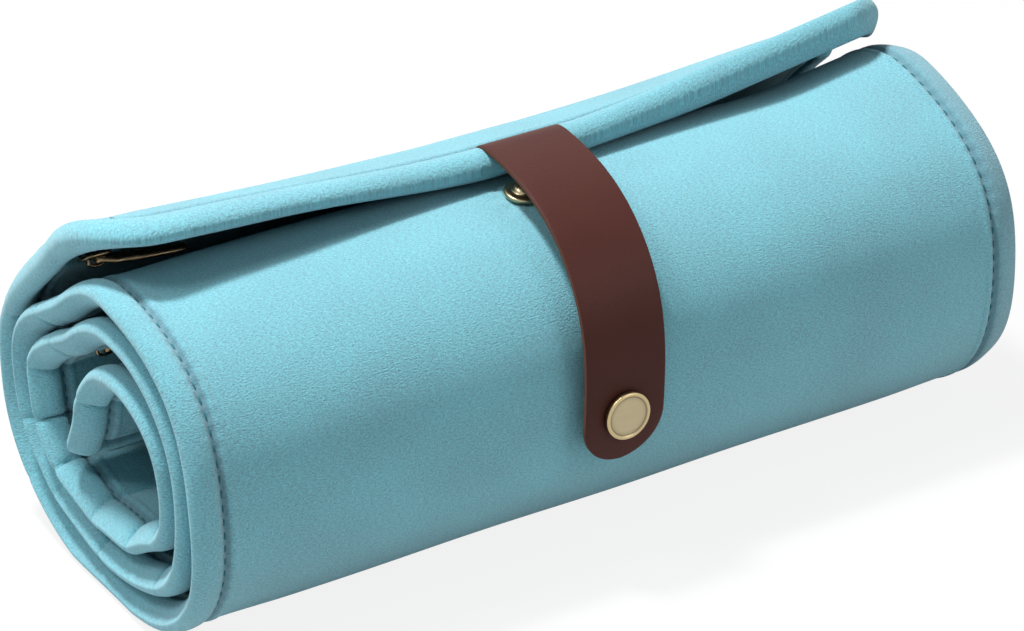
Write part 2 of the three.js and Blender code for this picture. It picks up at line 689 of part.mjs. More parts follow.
// One zip across the sheet, with its slider and pull.
function addZip(name, run, pocketDeep, stations) {
  const endX = ROLL_LENGTH / 2 - BIND_WIDE_IN - TAPE_END_GAP;
  const teethX = endX - STOP_LONG - STOP_GAP;
  const xs = (far) => pinchedStations(stations, far);
  const strip = (u0, u1, d0, d1, far) => {
    const runs = runStations(run + Math.min(u0, u1), run + Math.max(u0, u1));
    const columns = runs.map((r) => [r, d0, d1]);
    return loft(ladder(columns), xs(far), ([r, d], x) => layerPoint(r, x, d), ladderCaps);
  };
  const near = TEETH_OUT + LAYER_GAP;
  for (const [half, s] of [['outer', -1], ['inner', 1]]) {
    add(`${name}_tape_${half}`, strip(s * near, s * TAPE_FAR, TAPE_LOW, TAPE_HIGH, endX), TAPE);
    const row = strip(s * TEETH_IN, s * TEETH_OUT, TEETH_LOW, TEETH_LOW + TEETH_RISE, teethX);
    add(`${name}_teeth_${half}`, row, BRASS);
  }
  for (const [end, s] of [['left', -1], ['right', 1]]) {
    const x0 = s * (teethX + STOP_GAP);
    const outline = [[-TEETH_OUT, TEETH_LOW], [TEETH_OUT, TEETH_LOW]];
    outline.push([TEETH_OUT, TEETH_LOW + TEETH_RISE], [-TEETH_OUT, TEETH_LOW + TEETH_RISE]);
    const stop = loft(outline, [x0, s * endX], ([u, d], x) => layerPoint(run + u, x, d));
    add(`${name}_stop_${end}`, stop, BRASS);
  }
  const pocketRuns = runStations(run + GROOVE_HALF + POCKET_START_GAP, run + pocketDeep);
  const pocket = ladder(pocketRuns.map((r) => [r, TAPE_LEVEL, TAPE_LEVEL + POCKET_THICK]));
  const sheet = loft(pocket, xs(endX), ([r, d], x) => layerPoint(r, x, d), ladderCaps);
  add(`${name}_pocket_sheet`, sheet, AQUA_LINING);

  const seat = seatFrame(run, -(teethX - SLIDER_LONG / 2 - SLIDER_END_GAP), -1);
  const topLow = -TEETH_LOW + PLATE_CLEAR;
  const topHigh = topLow + PLATE_TOP;
  const backHigh = -(TEETH_LOW + TEETH_RISE) - PLATE_CLEAR;
  const long = SLIDER_LONG / 2;
  const wide = SLIDER_WIDE / 2;
  const slim = wide - PLATE_STEP;
  const barLow = topHigh + PULL_CLEAR;
  const bailLow = barLow + PULL_THICK + PULL_CLEAR;
  const bail = BAIL_WIDE / 2;
  const slider = join([
    slab(roundedShape(-long, long, -wide, wide, PLATE_ROUND), topLow, topHigh),
    slab(roundedShape(-long, long, -slim, slim, PLATE_ROUND), backHigh - PLATE_BACK, backHigh),
    block(-WEB_LONG_HALF, WEB_LONG_HALF, -WEB_HALF, WEB_HALF, backHigh - FUSE, topLow + FUSE),
    block(-BAIL_HALF, -BAIL_HALF + BAIL_POST, -bail, bail, topHigh - FUSE, bailLow + FUSE),
    block(BAIL_HALF - BAIL_POST, BAIL_HALF, -bail, bail, topHigh - FUSE, bailLow + FUSE),
    block(-BAIL_HALF, BAIL_HALF, -bail, bail, bailLow, bailLow + BAIL_BAR),
  ]);
  slider.applyMatrix4(seat);
  add(`${name}_slider`, solid(slider), BRASS);
  const tab = new THREE.Shape();
  const spread = PULL_SHOULDER + PULL_SPREAD;
  const tipX = PULL_LONG - PULL_WIDE / 2;
  tab.moveTo(-PULL_BAR_HALF, -PULL_NECK / 2);
  tab.lineTo(PULL_SHOULDER, -PULL_NECK / 2);
  tab.lineTo(spread, -PULL_WIDE / 2);
  tab.lineTo(tipX, -PULL_WIDE / 2);
  tab.absarc(tipX, 0, PULL_WIDE / 2, -Math.PI / 2, Math.PI / 2);
  tab.lineTo(spread, PULL_WIDE / 2);
  tab.lineTo(PULL_SHOULDER, PULL_NECK / 2);
  tab.lineTo(-PULL_BAR_HALF, PULL_NECK / 2);
  const window = new THREE.Path();
  const side = bail + PULL_CLEAR;
  const eye = BAIL_HALF + PULL_EYE_SPARE;
  window.moveTo(PULL_BAR_HALF, -side);
  window.lineTo(eye, -side);
  window.lineTo(eye, side);
  window.lineTo(PULL_BAR_HALF, side);
  tab.holes.push(window);
  const pull = slab(tab, barLow, barLow + PULL_THICK);
  pull.applyMatrix4(seat);
  add(`${name}_pull`, solid(pull), BRASS);
}

addWoundSheet();
addFlapSheet();
addBindings();
addSnapStuds();
addStrap();
addZip('flap_zip', ZIP_FLAP_RUN, POCKET_FLAP_DEEP, FLAP_X);
addZip('inner_zip', RUN_ZIP_INNER, POCKET_INNER_DEEP, []);

export default group;
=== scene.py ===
"""Looks of a padded velvet jewelry roll, wound up and closed by a leather strap with a brass snap.

Sizes in the classes are millimetres. Meshes are written in metres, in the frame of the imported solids:
X runs along the roll to its right end, Y to the back and Z up. A span is the start and width of a soft
step, or the middle and half width of a bell.
"""

import logging
import math
from dataclasses import dataclass
from enum import Enum
from functools import cached_property
from typing import Any, Mapping, Sequence

import bpy
import numpy as np
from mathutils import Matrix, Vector

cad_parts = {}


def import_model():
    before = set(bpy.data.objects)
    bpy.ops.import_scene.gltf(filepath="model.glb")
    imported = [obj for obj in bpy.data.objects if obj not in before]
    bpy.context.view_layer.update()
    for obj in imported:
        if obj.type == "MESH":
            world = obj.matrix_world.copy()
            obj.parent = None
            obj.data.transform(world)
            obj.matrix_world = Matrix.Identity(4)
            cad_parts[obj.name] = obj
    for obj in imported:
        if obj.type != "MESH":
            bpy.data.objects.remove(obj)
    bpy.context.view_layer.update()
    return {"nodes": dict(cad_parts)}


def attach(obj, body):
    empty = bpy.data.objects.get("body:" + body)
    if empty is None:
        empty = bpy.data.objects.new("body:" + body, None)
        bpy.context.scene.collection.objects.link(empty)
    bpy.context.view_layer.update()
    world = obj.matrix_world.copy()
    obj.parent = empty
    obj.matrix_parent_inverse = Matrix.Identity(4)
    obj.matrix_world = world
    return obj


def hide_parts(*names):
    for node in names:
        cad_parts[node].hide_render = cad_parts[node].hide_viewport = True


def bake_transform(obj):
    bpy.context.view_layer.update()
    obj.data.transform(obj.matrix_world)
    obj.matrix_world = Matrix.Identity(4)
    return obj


Array = np.ndarray
Colour = tuple[float, ...]
Span = tuple[float, float]
Triple = tuple[float, float, float]
Pairs = tuple[tuple[float, float], ...]
Row = tuple[float, ...]
Piece = bpy.types.Object
MM = 0.001
MERGE_DIGITS = 5
STITCH_IN = 8.0
STITCH_PITCH = 3.5
LOG = logging.getLogger("jewelry_roll")


class Side(Enum):
    """Sides of the padded sheet, as signs of the depth measured outwards from its middle line."""

    OUTER = 1
    INNER = -1


class Slot(Enum):
    """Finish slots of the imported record."""

    VELVET = "velvet"
    LINING = "lining"
    TAPE = "zip_tape"
    LEATHER = "strap_leather"
    SNAP = "snap_brass"
    ZIP = "zip_brass"


def smooth(t: Array) -> Array:
    """Soft step: t held between 0 and 1, then 3t² - 2t³."""
    held = np.clip(t, 0.0, 1.0)
    return held * held * (3.0 - 2.0 * held)


def rise(value: Array, span: Span) -> Array:
    """Soft step of a value over a span."""
    return smooth((value - span[0]) / span[1])


def bell(t: Array) -> Array:
    """Bell of height 1: e to the power of -t²."""
    return np.exp(-np.square(t))


def hump(value: Array, span: Span) -> Array:
    """Bell of a value round the middle of a span."""
    return bell((value - span[0]) / span[1])


def turned_steps(count: int) -> Array:
    """Shares from 0 to 1 of a quarter circle seen from its side: 1 - cos of even steps."""
    return 1.0 - np.cos(np.linspace(0.0, math.pi / 2, count))


def full_turn(count: int) -> Array:
    """Angles of even steps round a full turn."""
    return np.linspace(0.0, 2.0 * math.pi, count, endpoint=False)


def squarer(wave: Array, power: float) -> Array:
    """Wave with flatter tops: its sign times its size to a power below 1."""
    return np.sign(wave) * np.abs(wave) ** power


def grid_faces(rows: int, cols: int, ring: bool = False) -> Array:
    """Quads of a grid of points kept row by row.

    Args:
        rows: number of rows.
        cols: points in a row.
        ring: whether the last column joins the first.

    Returns:
        An array of four point numbers for each face.
    """
    row = np.arange(rows - 1)[:, None] * cols
    here = np.arange(cols if ring else cols - 1)[None, :]
    after = (here + 1) % cols
    return np.stack([row + here, row + after, row + cols + after, row + cols + here], -1).reshape(-1, 4)


def facing_out(points: Array, faces: Array) -> Array:
    """Turns all quads of a closed body round if the volume that they enclose comes out negative.

    Args:
        points: places of the vertices.
        faces: quads in one sense.

    Returns:
        The quads with their faces pointing outwards.
    """
    a, b, c, d = (points[faces[:, k]] for k in range(4))
    volume = (a * np.cross(b, c)).sum() + (a * np.cross(c, d)).sum()
    return faces if volume > 0 else faces[:, ::-1]


def capped_tubes(rings: Array) -> tuple[Array, Array]:
    """Closed bodies from rings of points: each is a row of rings, with its two end rings drawn to a point.

    Args:
        rings: places as body, ring, point, xyz.

    Returns:
        The points and quads of all bodies together. A quad at an end has two corners in one place.
    """
    bodies, count, around, _ = rings.shape
    first = rings[:, :1].mean(2, keepdims=True).repeat(around, 2)
    last = rings[:, -1:].mean(2, keepdims=True).repeat(around, 2)
    full = np.concatenate([first, rings, last], 1)
    one = grid_faces(count + 2, around, ring=True)
    starts = np.arange(bodies)[:, None, None] * (count + 2) * around
    return full.reshape(-1, 3), (one[None] + starts).reshape(-1, 4)


def flat_tube(rings: Array) -> tuple[Array, Array]:
    """Closed body of a flat piece whose rows go out along one face and come back along the other.

    Args:
        rings: places as row, point, xyz.

    Returns:
        The points and quads, with both end rows closed by quads between facing points.
    """
    count, around, _ = rings.shape
    out = np.arange(around // 2 - 1)
    back = around - 1 - out
    cap = np.stack([out, out + 1, back - 1, back], -1)
    faces = [grid_faces(count, around, ring=True), cap[:, ::-1], cap + (count - 1) * around]
    return rings.reshape(-1, 3), np.concatenate(faces)


def make_piece(name: str, points: Array, faces: Array, material: bpy.types.Material) -> Piece:
    """Puts points in millimetres and quads into a smooth-shaded object, with doubled points merged.

    Args:
        name: the piece's name.
        points: places of the vertices.
        faces: quads. One with a doubled corner becomes a triangle.
        material: the piece's finish.

    Returns:
        The new object, at the origin.
    """
    spots, back = np.unique(np.round(points, MERGE_DIGITS), axis=0, return_inverse=True)
    quads = facing_out(spots, back.reshape(-1)[faces])
    rows = [tuple(dict.fromkeys(q)) for q in quads.tolist()]
    mesh = bpy.data.meshes.new(name)
    mesh.from_pydata((spots * MM).tolist(), [], [r for r in rows if len(r) > 2])
    mesh.validate()
    mesh.shade_smooth()
    mesh.materials.append(material)
    piece = bpy.data.objects.new(name, mesh)
    bpy.context.scene.collection.objects.link(piece)
    return piece


def write_marks(piece: Piece, **marks: Array) -> None:
    """Writes marks for the finishes to read.

    Args:
        piece: the piece.
        marks: one number for each vertex, by the mark's name.
    """
    for key, values in marks.items():
        layer = piece.data.attributes.new(key, "FLOAT", "POINT")
        layer.data.foreach_set("value", values.astype(np.float32))


def vertex_rows(piece: Piece, key: str) -> Array:
    """Reads a piece's vertices.

    Args:
        piece: the piece.
        key: co for places in metres, or normal.

    Returns:
        One row of three numbers for each vertex.
    """
    flat = np.zeros(len(piece.data.vertices) * 3, np.float32)
    piece.data.vertices.foreach_get(key, flat)
    return flat.reshape(-1, 3)


class Value:
    """One socket of a shader, as a number or colour that changes over the surface."""

    def __init__(self, nodes: "Nodes", socket: bpy.types.NodeSocket) -> None:
        """Keeps the socket with the nodes that it belongs to."""
        self.nodes = nodes
        self.socket = socket

    def _math(self, operation: str, first: Any, second: Any) -> "Value":
        """Adds one Math node."""
        return self.nodes.node("ShaderNodeMath", {"operation": operation}, {0: first, 1: second})

    def __add__(self, other: Any) -> "Value":
        """Sum."""
        return self._math("ADD", self, other)

    def __sub__(self, other: Any) -> "Value":
        """Difference."""
        return self._math("SUBTRACT", self, other)

    def __mul__(self, other: Any) -> "Value":
        """Product."""
        return self._math("MULTIPLY", self, other)

    def __truediv__(self, other: Any) -> "Value":
        """Quotient."""
        return self._math("DIVIDE", self, other)

    def wave(self) -> "Value":
        """Sine."""
        return self._math("SINE", self, 0.0)

    def bell(self, middle: float, width: float) -> "Value":
        """Bell of height 1: 1 over 1 plus the fourth power of the distance from the middle in widths.

        Args:
            middle: value at the top.
            width: distance at which the bell has fallen to a half.

        Returns:
            The bell's height.
        """
        distance = (self - middle) / width
        squared = distance * distance
        return self._math("DIVIDE", 1.0, squared * squared + 1.0)


class Nodes:
    """A tree of shader nodes, with one method that adds them."""

    def __init__(self, tree: bpy.types.NodeTree) -> None:
        """Takes a tree over and empties it."""
        self.tree = tree
        self.tree.nodes.clear()

    def feed(self, socket: bpy.types.NodeSocket, value: Any) -> None:
        """Links a value to a socket, or sets a constant on it.

        Args:
            socket: the input.
            value: a value, or a constant.
        """
        if isinstance(value, Value):
            self.tree.links.new(value.socket, socket)
        else:
            socket.default_value = value

    def node(
        self,
        kind: str,
        settings: Mapping[str, Any] | None = None,
        sockets: Mapping[str | int, Any] | None = None,
        output: str | int = 0,
    ) -> Value:
        """Adds one node.

        Args:
            kind: the node's type.
            settings: its properties.
            sockets: constants or values for its inputs, by name or number.
            output: the output that is returned.

        Returns:
            The chosen output.
        """
        made = self.tree.nodes.new(kind)
        for key, value in (settings or {}).items():
            setattr(made, key, value)
        for key, value in (sockets or {}).items():
            self.feed(made.inputs[key], value)
        return Value(self, made.outputs[output])

    def seen(self) -> Value:
        """What is seen, and not only lit.

        Returns:
            1 on rays from the camera, a mirror or glass, and 0 on the rest.
        """
        rays = ("Is Camera Ray", "Is Glossy Ray", "Is Transmission Ray")
        camera, glossy, through = (self.node("ShaderNodeLightPath", output=ray) for ray in rays)
        return camera + glossy + through


class Finish(Nodes):
    """A material made of nodes, with a Principled shader at its end."""

    def __init__(self, name: str, **constants: Any) -> None:
        """Makes the material and sets the shader's constant sockets.

        Args:
            name: the material's name.
            constants: socket names, with underscores for spaces, and their values.
        """
        self.material = bpy.data.materials.new(name)
        self.material.use_nodes = True
        super().__init__(self.material.node_tree)
        self.shader = self.tree.nodes.new("ShaderNodeBsdfPrincipled")
        self.output = self.tree.nodes.new("ShaderNodeOutputMaterial")
        self.tree.links.new(self.shader.outputs[0], self.output.inputs[0])
        for key, value in constants.items():
            self.shader.inputs[key.replace("_", " ")].default_value = value

    def mark(self, name: str) -> Value:
        """Number that a piece's vertices carry under a name."""
        return self.node("ShaderNodeAttribute", {"attribute_name": name}, None, "Fac")

    def place(self) -> Value:
        """Place on the piece, in metres."""
        return self.node("ShaderNodeTexCoord", None, None, "Object")

    def mixed(self, share: Value, low: Any, high: Any) -> Value:
        """Colour between two, by a share."""
        return self.node("ShaderNodeMix", {"data_type": "RGBA"}, {0: share, 6: low, 7: high}, 2)

    def noise(self, where: Value, scale: float, detail: float = 2.0) -> Value:
        """Soft noise between 0 and 1 at a number of grains per unit of the place."""
        sockets = {"Vector": where, "Scale": scale, "Detail": detail}
        return self.node("ShaderNodeTexNoise", None, sockets, "Fac")

    def streaks(self, where: Value, grains: Triple, detail: float = 2.0) -> Value:
        """Soft noise with its own number of grains along each axis."""
        stretched = self.node("ShaderNodeVectorMath", {"operation": "MULTIPLY"}, {0: where, 1: grains})
        return self.noise(stretched, 1.0, detail)

    def raised(self, height: Value, distance: float, strength: float) -> None:
        """Makes a height the relief of the surface.

        Args:
            height: the height.
            distance: metres for a height of 1.
            strength: how much of the relief shows.
        """
        sockets = {"Height": height, "Distance": distance, "Strength": strength}
        bump = self.node("ShaderNodeBump", None, sockets, "Normal")
        self.feed(self.shader.inputs["Normal"], bump)

    def colour(self, value: Value) -> None:
        """Makes a value the surface's colour."""
        self.feed(self.shader.inputs["Base Color"], value)

    def roughness(self, value: Value) -> None:
        """Makes a value the surface's roughness."""
        self.feed(self.shader.inputs["Roughness"], value)


@dataclass(frozen=True)
class Velvet:
    """Short-pile velvet: fine grain, brushed patches and small gathers along the seams.

    The grains are noise cells in a millimetre along the cloth's run and across it.
    """

    name: str = "aqua_velvet"
    deep: Colour = (0.005, 0.170, 0.235, 1.0)
    pale: Colour = (0.062, 0.455, 0.555, 1.0)
    rough: float = 0.8
    shine: float = 0.08
    sheen: float = 0.36
    sheen_rough: float = 1.0
    grain: Triple = (2.9, 2.0, 1.0)
    ribs: Triple = (2.8, 0.8, 1.0)
    patches: Triple = (0.05, 0.035, 1.0)
    grain_pale: float = 2.0
    ribs_pale: float = 1.2
    patches_pale: float = 0.5
    pale_from: float = 1.35
    # Painted shade: how much darker the cloth is drawn in the stitch groove.
    groove_shade: float = 1.2
    # Painted shade: how much darker the cloth is drawn on the band along the right rims.
    right_band_shade_depth: float = 0.3
    grain_high: float = 0.7
    ribs_high: float = 0.45
    gathers_high: float = 0.22
    relief: float = 0.0004
    relief_strength: float = 0.9
    stitch_in: float = STITCH_IN
    stitch_pitch: float = STITCH_PITCH
    seam_half: float = 0.8
    gathers_half: float = 2.2

    def make(self) -> bpy.types.Material:
        """Grain and patches from noise on the cloth's run and width, painted shade in the seam's groove and
        right band.

        Returns:
            The finished material.
        """
        cloth = Finish(
            self.name,
            Roughness=self.rough,
            Sheen_Weight=self.sheen,
            Sheen_Roughness=self.sheen_rough,
            Sheen_Tint=(1.0, 1.0, 1.0, 1.0),
            Specular_IOR_Level=self.shine,
        )
        place = cloth.node("ShaderNodeUVMap", {"uv_map": "cloth"})
        edge, along, nap = (cloth.mark(name) for name in ("edge", "along", "nap"))
        grain = cloth.streaks(place, self.grain, 3.0)
        ribs = cloth.streaks(place, self.ribs)
        patches = cloth.streaks(place, self.patches)
        # Painted shade in the stitch groove: a bell at the stitch line darkens the colour.
        seam = edge.bell(self.stitch_in, self.seam_half)
        light = grain * self.grain_pale + ribs * self.ribs_pale + patches * self.patches_pale - self.pale_from
        # The band's mark takes colour away as painted shade on the band along the right rims.
        share = light - seam * self.groove_shade - nap * self.right_band_shade_depth
        cloth.colour(cloth.mixed(share, self.deep, self.pale))
        stitches = (along * (2.0 * math.pi / self.stitch_pitch)).wave()
        gathers = stitches * edge.bell(self.stitch_in, self.gathers_half)
        height = grain * self.grain_high + ribs * self.ribs_high + gathers * self.gathers_high
        cloth.raised(height, self.relief, self.relief_strength)
        return cloth.material


@dataclass(frozen=True)
class Leather:
    """Smooth dyed leather with a fine grain and paler raw edges. Grains are cells in a metre."""

    name: str = "brown_leather"
    face: Colour = (0.049, 0.0142, 0.0112, 1.0)
    warm: Colour = (0.062, 0.0185, 0.0142, 1.0)
    raw: Colour = (0.105, 0.048, 0.031, 1.0)
    shine: float = 0.12
    rough: float = 0.40
    cloud_rough: float = 0.12
    cut_rough: float = 0.2
    grain: float = 1500.0
    clouds: float = 90.0
    grain_high: float = 0.5
    cloud_high: float = 0.3
    relief: float = 0.00012
    relief_strength: float = 0.6

    def make(self) -> bpy.types.Material:
        """Grain from small cells and noise, and the raw edge from the piece's own mark.

        Returns:
            The finished material.
        """
        hide = Finish(self.name, Specular_IOR_Level=self.shine)
        place = hide.place()
        cut = hide.mark("cut")
        cells = hide.node("ShaderNodeTexVoronoi", None, {"Vector": place, "Scale": self.grain}, "Distance")
        cloud = hide.noise(place, self.clouds, 4.0)
        hide.colour(hide.mixed(cut, hide.mixed(cloud, self.face, self.warm), self.raw))
        hide.roughness(cloud * self.cloud_rough + cut * self.cut_rough + self.rough)
        hide.raised(cells * self.grain_high + cloud * self.cloud_high, self.relief, self.relief_strength)
        return hide.material


@dataclass(frozen=True)
class Brass:
    """Pale brass, brushed along one direction. Brush and wear are noise cells in a metre."""

    name: str
    tone: Colour
    shade: Colour
    rough: float
    # Colours of the snap cap's painted highlight on its rim, and of its painted shade in the groove and at
    # the foot.
    rim: Colour = (0.54, 0.43, 0.235, 1.0)
    crevice_shade_colour: Colour = (0.10, 0.07, 0.035, 1.0)
    brush: Triple = (60.0, 1800.0, 1800.0)
    wear: float = 160.0
    brush_part: float = 0.6
    wear_part: float = 0.4
    brush_rough: float = 0.12
    wear_rough: float = 0.1
    relief: float = 0.00002
    relief_strength: float = 0.5

    def make(self) -> bpy.types.Material:
        """Fine lines from noise stretched along the brush's way, in tone, roughness and relief.

        Returns:
            The finished material.
        """
        metal = Finish(self.name, Metallic=1.0)
        place = metal.place()
        lines = metal.streaks(place, self.brush)
        wear = metal.noise(place, self.wear, 3.0)
        # Marks that paint light on the cap: painted shade in its groove and at its foot, and a painted
        # highlight on its rim.
        grime, bright = metal.mark("grime"), metal.mark("bright")
        brushed = metal.mixed(lines * self.brush_part + wear * self.wear_part, self.shade, self.tone)
        metal.colour(metal.mixed(grime, metal.mixed(bright, brushed, self.rim), self.crevice_shade_colour))
        metal.roughness(lines * self.brush_rough + wear * self.wear_rough + self.rough)
        metal.raised(lines, self.relief, self.relief_strength)
        return metal.material


@dataclass(frozen=True)
class Weave:
    """Woven cloth of the zip tapes, pocket sheets and sewing thread, with its threads in a metre."""

    name: str
    deep: Colour
    pale: Colour
    threads: float = 2200.0
    clouds: float = 700.0
    cloud_part: float = 0.5
    relief: float = 0.0001
    relief_strength: float = 0.6

    def make(self) -> bpy.types.Material:
        """Slanting waves of thread, with a little noise.

        Returns:
            The finished material.
        """
        cloth = Finish(self.name, Roughness=0.85, Sheen_Weight=0.2, Specular_IOR_Level=0.2)
        place = cloth.place()
        sockets = {"Vector": place, "Scale": self.threads}
        twill = cloth.node("ShaderNodeTexWave", {"bands_direction": "DIAGONAL"}, sockets, "Fac")
        cloud = cloth.noise(place, self.clouds, 3.0)
        share = twill * (1.0 - self.cloud_part) + cloud * self.cloud_part
        cloth.colour(cloth.mixed(share, self.deep, self.pale))
        cloth.raised(twill + cloud * self.cloud_part, self.relief, self.relief_strength)
        return cloth.material


@dataclass(frozen=True)
class Winding:
    """Route of the padded sheet from the flap edge inwards.

    Its parameter is the angle in degrees from the top of the roll towards the back, and a run is a length
    along it from the flap edge.
    """

    # The roll as a whole, and the angles of the sheet's ends and hinge.
    length: float = 238.0
    depth: float = 106.0
    height: float = 84.5
    foot_press: float = 1.0
    half: float = 3.3
    pitch: float = 8.0
    edge_angle: float = -7.0
    end_angle: float = 1230.0
    hinge_angle: float = 86.0
    tail_angle: float = 1185.0
    # Curl and hang of the inner end.
    curl_deep: float = 17.5
    curl_tall: float = 7.5
    curl_drop: float = 3.5
    curl_span: Span = (1006.0, 130.0)
    hang_span: Span = (1150.0, 120.0)
    hang_part: float = 0.95
    # Shoulders, and the flattened slope at the back.
    shoulder_bulge: float = 0.064
    slope_flat: float = 8.0
    slope_lead: float = 8.0
    slope_rise: float = 42.0
    slope_fade: float = 40.0
    slope_end: float = 90.0
    # Bulge of the flap over its zip.
    zip_run: float = 36.0
    zip_lift: float = 3.2
    zip_lift_run: float = 20.0
    zip_lift_level: float = 8.0
    hinge_clear: float = 0.5
    bulge_span: Span = (110.5, 8.5)
    bulge_cut: float = 0.8
    # Raised, turned-up and shifted edge of the flap.
    end_lift: float = 10.9
    lift_lean: float = 0.24
    lift_power: float = 1.2
    lift_run: float = 62.0
    tip_power: float = 1.5
    edge_curl: float = 2.2
    curl_run: float = 11.0
    curl_lift: float = 4.0
    held_half: float = 14.4
    edge_skew: float = 5.0
    edge_shift: float = -6.8
    edge_ease: float = 25.0
    edge_short: float = 4.8
    # Steps in degrees for the table of runs and for normals.
    table_step: float = 0.5
    normal_step: float = 0.6

    @property
    def half_deep(self) -> float:
        """Half the depth of the outermost turn, with the winding's own growth."""
        return (self.depth + self.pitch) / 2

    @property
    def half_tall(self) -> float:
        """Half the height of the outermost turn, with the winding's own growth."""
        return (self.height + self.foot_press + 1.5 * self.pitch) / 2

    def _free_middle(self, angle: Array) -> tuple[Array, Array]:
        """Middle line as a shrinking oval.

        Its shoulders are fuller than an ellipse, its back slope is flattened, its end curls in and its foot
        is flat.

        Args:
            angle: winding angles in degrees.

        Returns:
            The y and z of each.
        """
        turn = np.radians(angle)
        lean = np.mod(angle + 540.0, 360.0) - 180.0
        curl = rise(angle, self.curl_span)
        fade = 1.0 - rise(lean, (self.slope_fade, self.slope_end - self.slope_fade))
        flat = self.slope_flat * rise(lean, (-self.slope_lead, self.slope_rise)) * fade * (1.0 - curl)
        sloped = (lean >= 0.0) & (lean < self.slope_end)
        swell = np.where(sloped, 1.0, 1.0 + self.shoulder_bulge * np.sin(2.0 * turn) ** 2)
        hang = self.hang_part * rise(angle, self.hang_span)
        inset = self.pitch * angle / 360.0 + self.half + flat
        deep = self.half_deep - inset - self.curl_deep * (curl - hang)
        tall = self.half_tall - inset - self.curl_tall * curl
        centre_z = self.height + self.pitch - self.half_tall
        y = deep * np.sin(turn) * swell - self.pitch / 4
        z = tall * np.cos(turn) * swell + centre_z - self.curl_drop * curl
        return y, np.maximum(z, self.half)

    def middle(self, angle: Array) -> tuple[Array, Array]:
        """Middle line of the sheet, straight past the tail's angle.

        Args:
            angle: winding angles in degrees.

        Returns:
            The y and z of each.
        """
        angle = np.asarray(angle, float)
        y, z = self._free_middle(np.minimum(angle, self.tail_angle))
        ends = self._free_middle(np.array([self.tail_angle - 1.0, self.tail_angle]))
        past = np.maximum(angle - self.tail_angle, 0.0)
        return y + (ends[0][1] - ends[0][0]) * past, z + (ends[1][1] - ends[1][0]) * past

    @cached_property
    def table(self) -> tuple[Array, Array]:
        """Lengths along the middle line, added up from small chords.

        Returns:
            Angles in small steps, and the run up to each.
        """
        angle = np.arange(self.edge_angle, self.end_angle + self.table_step / 2, self.table_step)
        y, z = self.middle(angle)
        return angle, np.concatenate([[0.0], np.cumsum(np.hypot(np.diff(y), np.diff(z)))])

    def run_at(self, angle: float) -> float:
        """Run along the sheet up to a winding angle."""
        return float(np.interp(angle, *self.table))

    def angle_at(self, run: Array) -> Array:
        """Winding angle at a run, carried on evenly before the flap edge.

        Args:
            run: distances from the flap edge along the sheet.

        Returns:
            The angles in degrees.
        """
        angle, run_table = self.table
        before = (angle[1] - angle[0]) / (run_table[1] - run_table[0])
        return np.interp(run, run_table, angle) + before * np.minimum(run, 0.0)

    @property
    def run_end(self) -> float:
        """Run of the sheet's inner end."""
        return float(self.table[1][-1])

    def frame(self, angle: Array) -> tuple[Array, Array, Array, Array]:
        """Middle line and its outward normal.

        Args:
            angle: winding angles in degrees.

        Returns:
            The y and z of the line, and the y and z of the normal.
        """
        y, z = self.middle(angle)
        before, after = self.middle(angle - self.normal_step), self.middle(angle + self.normal_step)
        ty, tz = after[0] - before[0], after[1] - before[1]
        long = np.hypot(ty, tz)
        return y, z, -tz / long, ty / long

    def reach(self, x: Array) -> Array:
        """Share of the way from the strap, which holds the flap down, to an end of the roll."""
        away = np.maximum(np.abs(x) - self.held_half, 0.0)
        return away / (self.length / 2 - self.held_half)

    def lift(self, run: Array, x: Array) -> Array:
        """Stand-off of the flap from the turn under it.

        A bulge over the zip, lower past the zip's left end, and an edge raised by a power of the reach from
        the strap. On the left the last stretch of the raised edge turns up a little more, by a parabola.

        Args:
            run: distance from the flap edge along the sheet.
            x: place along the roll.

        Returns:
            The distance outwards, which is 0 past the hinge.
        """
        first, last = self.zip_run - self.zip_lift_level / 2, self.zip_run + self.zip_lift_level
        hinge = self.run_at(self.hinge_angle)
        up = rise(run, (first - self.zip_lift_run, self.zip_lift_run))
        down = 1.0 - rise(run, (last, hinge - self.hinge_clear - last))
        past = self.bulge_cut * rise(-x, self.bulge_span)
        bulge = self.zip_lift * up * down * (1.0 - past)
        near = np.clip(1.0 - run / self.edge_ease, 0.0, 1.0)
        leaned = self.end_lift * (1.0 + self.lift_lean * near * np.clip(x / self.edge_ease, -1.0, 0.0))
        corner = leaned * self.reach(x) ** self.lift_power
        tip = np.clip(1.0 - run / self.lift_run, 0.0, 1.0) ** self.tip_power
        bent = np.square(np.clip(1.0 - run / self.curl_run, 0.0, 1.0))
        curled = self.edge_curl * smooth(corner / self.curl_lift) * bent * (x < 0.0)
        return np.where(run < hinge, bulge + corner * tip + curled, 0.0)

    def place(self, run: Array, x: Array, depth: Array) -> Array:
        """Points of the sheet, with the flap's edge a little askew and shifted along the roll.

        Args:
            run: distance from the flap edge along the sheet.
            x: place along the roll.
            depth: distance outwards from the middle line.

        Returns:
            Places in millimetres, with xyz last.
        """
        run, x, depth = np.broadcast_arrays(run, x, depth)
        ease = np.square(np.maximum(0.0, 1.0 - run / self.edge_ease))
        y, z, ny, nz = self.frame(self.angle_at(run + self.edge_skew * 2.0 * x / self.length * ease))
        out = depth + self.lift(run, x)
        shift = self.edge_shift - self.edge_short * (x > 0.0)
        return np.stack([x + shift * self.reach(x) * ease, y + ny * out, z + nz * out], -1)


